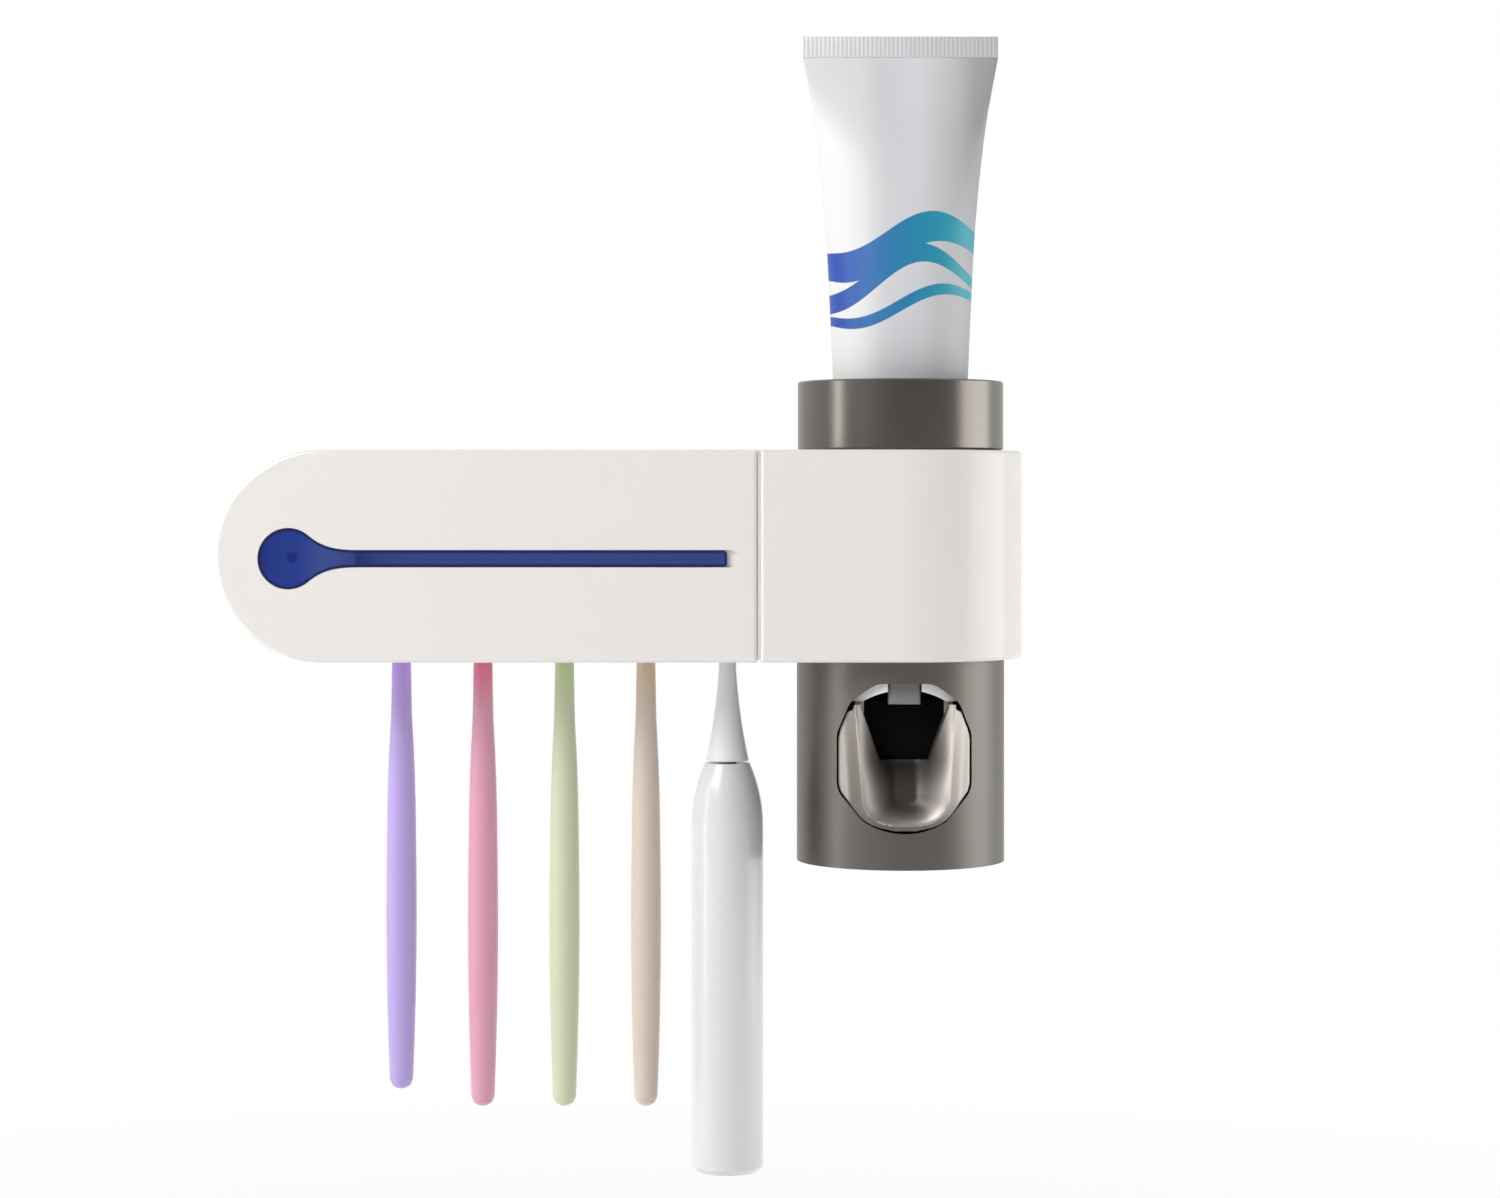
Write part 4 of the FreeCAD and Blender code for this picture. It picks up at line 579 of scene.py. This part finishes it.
def leverFront(x, z, radius):
    # how far the lever stands in front of the barrel at a place on its front
    crest = smoothAlong(lever["crest"], z)
    floor = smoothAlong(lever["floor"], z)
    rail = railHalf(z)
    share = railShare(x, z)
    if share < 1:
        rise = max((share - lever["floorShare"]) / (1 - lever["floorShare"]), 0.0)
        return floor + (crest - floor) * rise * rise * (lever["riseStart"] - lever["riseEnd"] * rise)
    wing = math.sqrt(radius ** 2 - x ** 2) - radius - lever["wingInset"]
    away = min((share - 1) * rail / lever["railFall"], 1.0)
    front = wing + (crest - wing) * (1 - away) ** 2
    edge = max(1 - (steadyAlong(lever["wings"], z) - abs(x)) / lever["edgeRound"], 0.0)
    return front - lever["edgeRound"] * lever["edgeDrop"] * edge ** 2


def heightAt(row):
    # the grid's rows run from -1 at the bottom to 1 at the top
    return lever["bottomZ"] + (lever["topZ"] - lever["bottomZ"]) * (row + 1) / 2


def sideAt(column, z):
    # columns spread over the gate, the inside of the rail and its outside
    wide = steadyAlong(lever["wings"], z)
    rail = min(railHalf(z), wide * lever["railWithin"])
    hole = min(gateHalf(z), rail * lever["gateWithin"])
    reach = abs(column)
    first, second = lever["gateColumn"], lever["railColumn"]
    if reach < first:
        x = hole * reach / first
    elif reach < second:
        x = hole + (rail - hole) * (reach - first) / (second - first)
    else:
        x = rail + (wide - rail) * (reach - second) / (1 - second)
    return math.copysign(x, column)


def buildScoop(middleX, drumY, radius):
    deselectAll()
    bpy.ops.mesh.primitive_grid_add(x_subdivisions=lever["columns"], y_subdivisions=lever["rows"], size=2.0)
    scoop = bpy.context.object
    scoop.name = "scoopLever"
    bpy.ops.object.mode_set(mode="EDIT")
    mesh = bmesh.from_edit_mesh(scoop.data)
    gate = []
    for face in mesh.faces:
        middle = face.calc_center_median()
        if abs(middle.x) < lever["gateColumn"] and heightAt(middle.y) > lever["gateZ"]:
            gate.append(face)
    bmesh.ops.delete(mesh, geom=gate, context="FACES")
    hollow = mesh.verts.layers.float.new("hollow")
    for vertex in mesh.verts:
        z = heightAt(vertex.co.y)
        x = sideAt(vertex.co.x, z)
        vertex.co = (middleX + x * mm, drumY - leverFront(x, z, radius) * mm, z * mm)
        # painted shade: 1 in the middle of the scoop, 0 along the rails
        vertex[hollow] = easeIn((1 - railShare(x, z)) / lever["hollowShare"])
    bmesh.update_edit_mesh(scoop.data)

    # the front is copied back to give the thickness, and at the gate down to the push plate
    bpy.ops.mesh.select_all(action="SELECT")
    bpy.ops.mesh.extrude_region_move(TRANSFORM_OT_translate={"value": (0, lever["thickness"] * mm, 0)})
    mesh = bmesh.from_edit_mesh(scoop.data)
    for vertex in mesh.verts:
        x, z = abs(vertex.co.x - middleX) / mm, vertex.co.z / mm
        atGate = z > lever["gateZ"] - lever["gateMarginZ"] and x < gateHalf(z) + lever["gateMarginX"]
        if vertex.select and atGate:
            vertex.co.y = drumY - lever["gateFloor"] * mm
    bmesh.update_edit_mesh(scoop.data)
    bpy.ops.mesh.select_all(action="SELECT")
    bpy.ops.mesh.normals_make_consistent(inside=False)
    bpy.ops.object.mode_set(mode="OBJECT")
    return scoop


def buildArms(middleX, drumY):
    # a round end and a bar on each side, up to the pivots
    setback, pivotZ = lever["pivot"]
    width = (lever["armOuter"] - lever["armInner"]) * mm
    height = pivotZ - lever["topZ"] + lever["armRadius"]
    pieces = []
    for side in (-1, 1):
        x = middleX + side * (lever["armInner"] + lever["armOuter"]) / 2 * mm
        y = drumY + setback * mm
        deselectAll()
        bpy.ops.mesh.primitive_cylinder_add(vertices=lever["armFacets"], radius=lever["armRadius"] * mm,
                                            depth=width, location=(x, y, pivotZ * mm),
                                            rotation=(0, math.pi / 2, 0))
        pieces.append(bpy.context.object)
        deselectAll()
        bpy.ops.mesh.primitive_cube_add(size=mm, location=(x, y, (pivotZ - height / 2) * mm))
        bpy.ops.transform.resize(value=(width / mm, lever["armDepth"], height))
        pieces.append(bpy.context.object)
    return pieces


def buildLever():
    low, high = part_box("squeezer_barrel")
    middleX = centreOf("squeeze_lever").x
    drumY = low[1]
    radius = (high[0] - low[0]) / 2 / mm
    scoop = buildScoop(middleX, drumY, radius)
    arms = buildArms(middleX, drumY)
    selectOnly(scoop)
    for arm in arms:
        arm.select_set(True)
    bpy.ops.object.join()
    freezeInPlace(scoop)
    smoothByAngle(scoop, wideAngle)
    scoop.data.materials.clear()
    scoop.data.materials.append(bpy.data.materials["polishedNickelLever"])
    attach(scoop, "lever")
    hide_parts("squeeze_lever")
    print("lever built")


def buildPumpFolds():
    # copies of the bellows and the spring take the place of the loaded ones
    for source, name in (("pump_bellows", "bellowsFolds"), ("return_spring", "springCoil")):
        piece = copyShape(nodes[source], name)
        smoothByAngle(piece, softAngle)
        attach(piece, "case")
        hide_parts(source)
        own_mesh(piece)
    print("pump folds built")


# lamp, electronics and small metal

metalLook = {
    "steel": linear(188, 189, 192),
    "aluminium": linear(205, 206, 208),
}


def finishInsides():
    steel = newMaterial("brightSteel", metalLook["steel"], roughness=0.25, Metallic=1.0)
    dress(steel, "back_cover_screws", "hinge_pin_left", "hinge_pin_right", "lid_magnets", "catch_plates",
          "lever_pins", "return_spring", "charge_port")
    aluminium = newMaterial("polishedAluminium", metalLook["aluminium"], roughness=0.18, Metallic=1.0)
    dress(aluminium, "lamp_reflector", "lamp_caps", "battery_cell")
    glass = newMaterial("quartzGlass", linear(236, 240, 250), roughness=0.05, Transmission_Weight=0.85,
                        IOR=1.46)
    dress(glass, "lamp_glass")
    board = newMaterial("lacqueredBoard", linear(24, 92, 52), roughness=0.35, Coat_Weight=0.4)
    dress(board, "control_board")
    chips = newMaterial("blackComponents", linear(28, 28, 30), roughness=0.45)
    dress(chips, "board_components")
    print("insides finished")


# paste tube

tube = {
    "facets": 96,
    "white": linear(231, 231, 232),
    # across the tube from its middle, in metres: painted shade that turns the tube from its white left flank
    # to grey on the right, with a faint lavender tint in the middle and a painted shadow along the right fold
    "toneAndShade": ((-0.032, linear(232, 232, 231)), (-0.013, linear(231, 231, 231)),
              (-0.0065, linear(214, 214, 217)), (0.0, linear(221, 221, 226)), (0.006, linear(226, 226, 230)),
              (0.0105, linear(217, 218, 220)), (0.019, linear(197, 198, 200)), (0.024, linear(170, 171, 173)),
              (0.032, linear(164, 165, 167))),
    "crimpWhite": linear(232, 230, 233),
    "crimpShadeGrey": linear(206, 202, 207),
    "printBlue": linear(26, 72, 172),
    "printTeal": linear(36, 168, 186),
    # half the width over which the ink turns from blue to teal
    "inkHalf": 20.0 * mm,
    # printed waves: height, swing, phase and width of each, and the pace that they share
    "waves": ((0.098, 0.0065, 0.4, 0.0024), (0.088, 0.0080, 0.9, 0.0015), (0.079, 0.0055, 0.1, 0.0009)),
    "wavePace": 105.0,
    "crimpHeight": 6.8 * mm,
    "crimpThickness": 1.3 * mm,
    "crimpBevel": 0.35 * mm,
    "crimpFlutes": 46,
    "fluteDepth": 0.4 * mm,
    "fluteStrength": 0.3,
    # down the tube: share of the way, share of the narrowing
    "flank": ((0.0, 0.0), (0.063, 0.175), (0.125, 0.34), (0.19, 0.475), (0.28, 0.62), (0.373, 0.74),
              (0.465, 0.82), (0.56, 0.885), (0.71, 0.98), (1.0, 1.0)),
}


def tubeDepth(width, flatWidth):
    # depth of the flattened round that keeps about the same girth
    girthRadius = flatWidth / math.pi
    room = 2 * girthRadius ** 2 - (width / 2) ** 2
    return max(tube["crimpThickness"], 2 * math.sqrt(max(room, 0.0)))


def buildTube():
    low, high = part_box("tube_sleeve")
    centre = centreOf("tube_sleeve")
    flatWidth = high[0] - low[0]
    roundWidth = sizeOf("tube_shoulder").x
    topZ = high[2] - tube["crimpHeight"]
    bottomZ = low[2]

    # one ring at the foot, drawn upwards ring by ring
    rings = []
    for share, narrowed in reversed(tube["flank"]):
        width = flatWidth + (roundWidth - flatWidth) * narrowed
        rings.append((topZ + (bottomZ - topZ) * share, width, tubeDepth(width, flatWidth)))
    deselectAll()
    bpy.ops.mesh.primitive_circle_add(vertices=tube["facets"], radius=0.5, fill_type="NGON",
                                      location=(centre.x, centre.y, rings[0][0]))
    sleeve = bpy.context.object
    sleeve.name = "pasteTubeSleeve"
    bpy.ops.object.mode_set(mode="EDIT")
    bpy.ops.mesh.select_all(action="SELECT")
    bpy.ops.transform.resize(value=(rings[0][1], rings[0][2], 1.0),
                             center_override=(centre.x, centre.y, rings[0][0]))
    for (z0, w0, d0), (z1, w1, d1) in zip(rings, rings[1:]):
        bpy.ops.mesh.extrude_region_move(TRANSFORM_OT_translate={"value": (0, 0, z1 - z0)})
        bpy.ops.transform.resize(value=(w1 / w0, d1 / d0, 1.0), center_override=(centre.x, centre.y, z1))
    bpy.ops.mesh.select_all(action="SELECT")
    bpy.ops.mesh.normals_make_consistent(inside=False)
    bpy.ops.object.mode_set(mode="OBJECT")
    freezeInPlace(sleeve)
    smoothByAngle(sleeve, wideAngle)

    # flat crimp with its pressed flutes
    deselectAll()
    bpy.ops.mesh.primitive_cube_add(size=1.0, location=(centre.x, centre.y, topZ + tube["crimpHeight"] / 2))
    crimp = bpy.context.object
    crimp.name = "pasteTubeCrimp"
    bpy.ops.transform.resize(value=(flatWidth, tube["crimpThickness"], tube["crimpHeight"]))
    freezeInPlace(crimp)
    bevelAll(crimp, tube["crimpBevel"], 3)
    smoothByAngle(crimp, softAngle)

    sleeve.data.materials.append(tubeLaminate(centre))
    crimp.data.materials.append(crimpLaminate(centre, flatWidth))
    hard = newMaterial("tubeShoulderPlastic", linear(228, 230, 233), roughness=0.4)
    dress(hard, "tube_shoulder")
    for piece in (sleeve, crimp):
        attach(piece, "tube")
    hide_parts("tube_sleeve")
    print("tube built")


def tubeLaminate(centre):
    # white laminate with a plain printed pattern of waves, over painted shade across the tube
    material = newMaterial("tubeLaminate", tube["white"], roughness=0.48, Coat_Weight=0.12,
                           Coat_Roughness=0.3)
    tree = material.node_tree
    split = objectAxes(tree)
    side = mapRange(tree, split.outputs["X"], centre.x - tube["inkHalf"], centre.x + tube["inkHalf"])
    ink = mixColours(tree, side, tube["printBlue"], tube["printTeal"])
    across = mathNode(tree, "SUBTRACT", split.outputs["X"], centre.x)
    # painted shade across the tube, darker to the right
    colour = rampAlong(tree, across, tube["toneAndShade"][0][0], tube["toneAndShade"][-1][0], tube["toneAndShade"], "B_SPLINE")
    for height, swing, phase, width in tube["waves"]:
        band = placeGroup(material, waveBand, Middle_X=centre.x, Height=height, Swing=swing,
                          Pace=tube["wavePace"], Phase=phase, Width=width)
        colour = mixColours(tree, band.outputs[0], colour, ink)
    link(tree, colour, tree.nodes["Principled BSDF"].inputs["Base Color"])
    return material


def crimpLaminate(centre, flatWidth):
    # pressed flutes, and painted shade that greys it towards the right
    material = newMaterial("crimpedLaminate", tube["crimpWhite"], roughness=0.4, Coat_Weight=0.2)
    tree = material.node_tree
    shader = tree.nodes["Principled BSDF"]
    place = tree.nodes.new("ShaderNodeTexCoord")
    wave = tree.nodes.new("ShaderNodeTexWave")
    wave.bands_direction = "X"
    # a wave texture of scale 1 has 10 / pi bands in a metre
    wave.inputs["Scale"].default_value = tube["crimpFlutes"] / flatWidth * math.pi / 10
    link(tree, place.outputs["Object"], wave.inputs["Vector"])
    bump = tree.nodes.new("ShaderNodeBump")
    bump.inputs["Distance"].default_value = tube["fluteDepth"]
    bump.inputs["Strength"].default_value = tube["fluteStrength"]
    link(tree, wave.outputs["Fac"], bump.inputs["Height"])
    link(tree, bump.outputs[0], shader.inputs["Normal"])
    x = objectAxes(tree).outputs["X"]
    side = mapRange(tree, x, centre.x - flatWidth / 2, centre.x + flatWidth / 2)
    link(tree, mixColours(tree, side, tube["crimpWhite"], tube["crimpShadeGrey"]), shader.inputs["Base Color"])
    return material


# toothbrushes

brushes = {
    "handle": (linear(187, 166, 227), linear(224, 160, 183), linear(208, 215, 182), linear(217, 200, 187)),
    # painted light: near the case the handles take a lighter, more saturated neck tone that offsets the
    # case's shadow
    "neck": (linear(198, 162, 246), linear(238, 124, 154), linear(202, 218, 164), linear(222, 199, 172)),
    "fadeLow": -0.050,
    "fadeHigh": -0.036,
    "tuftFacets": 10,
    "tuftRadius": 0.95 * mm,
    "tuftPitchX": 2.6 * mm,
    "tuftPitchZ": 2.9 * mm,
    # the free end is rounded by this share of the radius, and its faces lie within this band
    "tuftRound": 0.4,
    "tuftEnd": 0.1 * mm,
    "tuftColumns": 3,
    "tuftRows": 7,
    "powerRows": 6,
    "bristle": linear(240, 242, 245),
    "powerWhite": linear(224, 224, 226),
    "litHeadWhite": linear(240, 240, 241),
}


def buildTufts(name, source, rows, material, body):
    # one bristle tuft, then a block of copies on the head
    low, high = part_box(source)
    length = high[1] - low[1]
    columns = brushes["tuftColumns"]
    width = (columns - 1) * brushes["tuftPitchX"]
    height = (rows - 1) * brushes["tuftPitchZ"]
    start = Vector(((low[0] + high[0] - width) / 2, (low[1] + high[1]) / 2, (low[2] + high[2] - height) / 2))
    deselectAll()
    bpy.ops.mesh.primitive_cylinder_add(vertices=brushes["tuftFacets"], radius=brushes["tuftRadius"],
                                        depth=length, location=start, rotation=(math.pi / 2, 0, 0))
    tuft = bpy.context.object
    tuft.name = name
    freezeInPlace(tuft)
    # the free end is trimmed round
    bpy.ops.object.mode_set(mode="EDIT")
    bpy.ops.mesh.select_all(action="DESELECT")
    mesh = bmesh.from_edit_mesh(tuft.data)
    for face in mesh.faces:
        face.select = face.calc_center_median().y > high[1] - brushes["tuftEnd"]
    mesh.select_flush(True)
    bmesh.update_edit_mesh(tuft.data)
    bpy.ops.mesh.bevel(offset=brushes["tuftRadius"] * brushes["tuftRound"], segments=2, affect="EDGES")
    bpy.ops.object.mode_set(mode="OBJECT")
    applyModifier(tuft, "ARRAY", count=columns, use_relative_offset=False, use_constant_offset=True,
                  constant_offset_displace=(brushes["tuftPitchX"], 0, 0))
    applyModifier(tuft, "ARRAY", count=rows, use_relative_offset=False, use_constant_offset=True,
                  constant_offset_displace=(0, 0, brushes["tuftPitchZ"]))
    smoothByAngle(tuft, softAngle)
    tuft.data.materials.append(material)
    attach(tuft, body)
    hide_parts(source)


def finishBrushes():
    bristle = newMaterial("bristleFilament", brushes["bristle"], roughness=0.45, Sheen_Weight=0.3)
    addGrain(bristle, scale=5000.0, depth=1.0, distance=0.0004)
    for number, colour in enumerate(("lilac", "rose", "sage", "sand"), start=1):
        handleTone, litNeckTone = brushes["handle"][number - 1], brushes["neck"][number - 1]
        handle = newMaterial(colour + "Handle", handleTone, roughness=0.42, Coat_Weight=0.15)
        tree = handle.node_tree
        # painted light: the lighter neck tone fades in towards the top
        fade = placeGroup(handle, heightFade, Low=brushes["fadeLow"], High=brushes["fadeHigh"])
        blend = mixColours(tree, fade.outputs[0], handleTone, litNeckTone)
        link(tree, blend, tree.nodes["Principled BSDF"].inputs["Base Color"])
        addGrain(handle, scale=1400.0, depth=0.2, distance=0.0001)
        dress(handle, f"brush_handle_{number}")
        buildTufts(f"brushTufts{number}", f"brush_bristles_{number}", brushes["tuftRows"], bristle,
                   f"brush_{number}")
    white = newMaterial("powerBrushWhite", brushes["powerWhite"], roughness=0.3, Coat_Weight=0.3,
                        Coat_Roughness=0.1)
    addGrain(white, scale=1200.0, depth=0.15, distance=0.0001)
    dress(white, "power_handle")
    # painted light: the head's white is the handle's white made lighter, against the case's shadow
    cone = newMaterial("powerHeadLitWhite", brushes["litHeadWhite"], roughness=0.35, Coat_Weight=0.2,
                       Coat_Roughness=0.15)
    addGrain(cone, scale=1200.0, depth=0.15, distance=0.0001)
    dress(cone, "power_head")
    buildTufts("powerTufts", "power_bristles", brushes["powerRows"], bristle, "power_brush")
    print("brushes finished")


# stage, light and camera

studio = {
    "floorZ": -0.36,
    "span": 8.0,
    "floorColour": (0.93, 0.93, 0.93, 1.0),
    "floorRoughness": 0.9,
    # share of plain white that the camera sees: near the object, and from the far radius on
    "nearWhite": 0.70,
    "nearRadius": 0.35,
    "farRadius": 1.00,
    # the world's light in front of the object and behind it, and where the one fades into the other
    "frontLight": 0.20,
    "rearLight": 0.80,
    "fadeFront": -0.5,
    "fadeRear": 0.6,
}


def buildFloor():
    deselectAll()
    bpy.ops.mesh.primitive_plane_add(size=studio["span"], location=(0, 0, studio["floorZ"]))
    floor = bpy.context.object
    floor.name = "studioFloor"
    paint = newMaterial("paleStudioFloor", studio["floorColour"], studio["floorRoughness"])
    tree = paint.node_tree
    shader = tree.nodes["Principled BSDF"]
    rays = tree.nodes.new("ShaderNodeLightPath")
    white = tree.nodes.new("ShaderNodeEmission")
    brighten = tree.nodes.new("ShaderNodeMixShader")
    mirrored = mathNode(tree, "MAXIMUM", rays.outputs["Is Glossy Ray"], rays.outputs["Is Transmission Ray"])
    seen = mathNode(tree, "MAXIMUM", rays.outputs["Is Camera Ray"], mirrored)
    place = tree.nodes.new("ShaderNodeTexCoord")
    reach = tree.nodes.new("ShaderNodeVectorMath")
    reach.operation = "LENGTH"
    link(tree, place.outputs["Object"], reach.inputs[0])
    share = mapRange(tree, reach.outputs["Value"], studio["nearRadius"], studio["farRadius"],
                     results=(studio["nearWhite"], 1.0))
    link(tree, mathNode(tree, "MULTIPLY", seen, share), brighten.inputs[0])
    link(tree, shader.outputs[0], brighten.inputs[1])
    link(tree, white.outputs[0], brighten.inputs[2])
    # seen from below, the floor lets the view through
    geometry = tree.nodes.new("ShaderNodeNewGeometry")
    clear = tree.nodes.new("ShaderNodeBsdfTransparent")
    oneSided = tree.nodes.new("ShaderNodeMixShader")
    link(tree, geometry.outputs["Backfacing"], oneSided.inputs[0])
    link(tree, brighten.outputs[0], oneSided.inputs[1])
    link(tree, clear.outputs[0], oneSided.inputs[2])
    link(tree, oneSided.outputs[0], tree.nodes["Material Output"].inputs["Surface"])
    floor.data.materials.append(paint)


def buildWorld():
    # plain white to the camera, and a dim studio that is lighter behind the object
    world = bpy.data.worlds.new("studioWorld")
    bpy.context.scene.world = world
    world.use_nodes = True
    tree = world.node_tree
    background = tree.nodes["Background"]
    rays = tree.nodes.new("ShaderNodeLightPath")
    seen = mathNode(tree, "MAXIMUM", rays.outputs["Is Camera Ray"], rays.outputs["Is Transmission Ray"])
    place = tree.nodes.new("ShaderNodeTexCoord")
    split = tree.nodes.new("ShaderNodeSeparateXYZ")
    link(tree, place.outputs["Generated"], split.inputs[0])
    dim = mapRange(tree, split.outputs["Y"], studio["fadeFront"], studio["fadeRear"], "SMOOTHSTEP",
                   (studio["frontLight"], studio["rearLight"]))
    gain = mathNode(tree, "MULTIPLY", seen, mathNode(tree, "SUBTRACT", 1.0, dim))
    link(tree, mathNode(tree, "ADD", gain, dim), background.inputs["Strength"])
    background.inputs["Color"].default_value = (1, 1, 1, 1)


def buildStage():
    buildFloor()
    buildWorld()
    print("stage built")


panels = {
    # point that all panels face
    "target": (0.03, -0.04, 0.0),
    # place, width and height, and power of each
    "keyPanel": ((-1.05, -1.00, 0.95), (1.0, 0.8), 20),
    "leftStrip": ((-1.38, -0.42, 0.05), (0.13, 1.3), 3.8),
    "rightPanel": ((1.45, -0.05, 0.1), (1.1, 1.3), 10),
    "rearPanel": ((0.1, 1.3, 0.9), (1.2, 0.8), 1.5),
}


def addPanel(name):
    place, size, power = panels[name]
    direction = Vector(panels["target"]) - Vector(place)
    deselectAll()
    bpy.ops.object.light_add(type="AREA", location=place)
    lamp = bpy.context.object
    lamp.name = name
    lamp.rotation_euler = direction.to_track_quat("-Z", "Y").to_euler()
    lamp.data.shape = "RECTANGLE"
    lamp.data.size, lamp.data.size_y = size
    lamp.data.energy = power


def buildLights():
    for name in ("keyPanel", "leftStrip", "rightPanel", "rearPanel"):
        addPanel(name)
    print("lights built")


view = {
    "place": (0.0411, -1.0773, 0.0174),
    "lens": 77.42,
    "sensor": 36.0,
    "shiftY": -0.066,
    "nearest": 0.01,
    "farthest": 50.0,
}


def buildCamera():
    deselectAll()
    bpy.ops.object.camera_add(location=view["place"], rotation=(math.pi / 2, 0, 0))
    camera = bpy.context.object
    camera.name = "photoCamera"
    camera.data.sensor_width = view["sensor"]
    camera.data.lens = view["lens"]
    camera.data.shift_y = view["shiftY"]
    camera.data.clip_start = view["nearest"]
    camera.data.clip_end = view["farthest"]
    bpy.context.scene.camera = camera
    bpy.context.scene.view_settings.view_transform = "Standard"
    print("camera set")


finishCase()
finishWindow()
finishSqueezer()
buildLever()
finishInsides()
buildPumpFolds()
buildTube()
finishBrushes()
buildStage()
buildLights()
buildCamera()
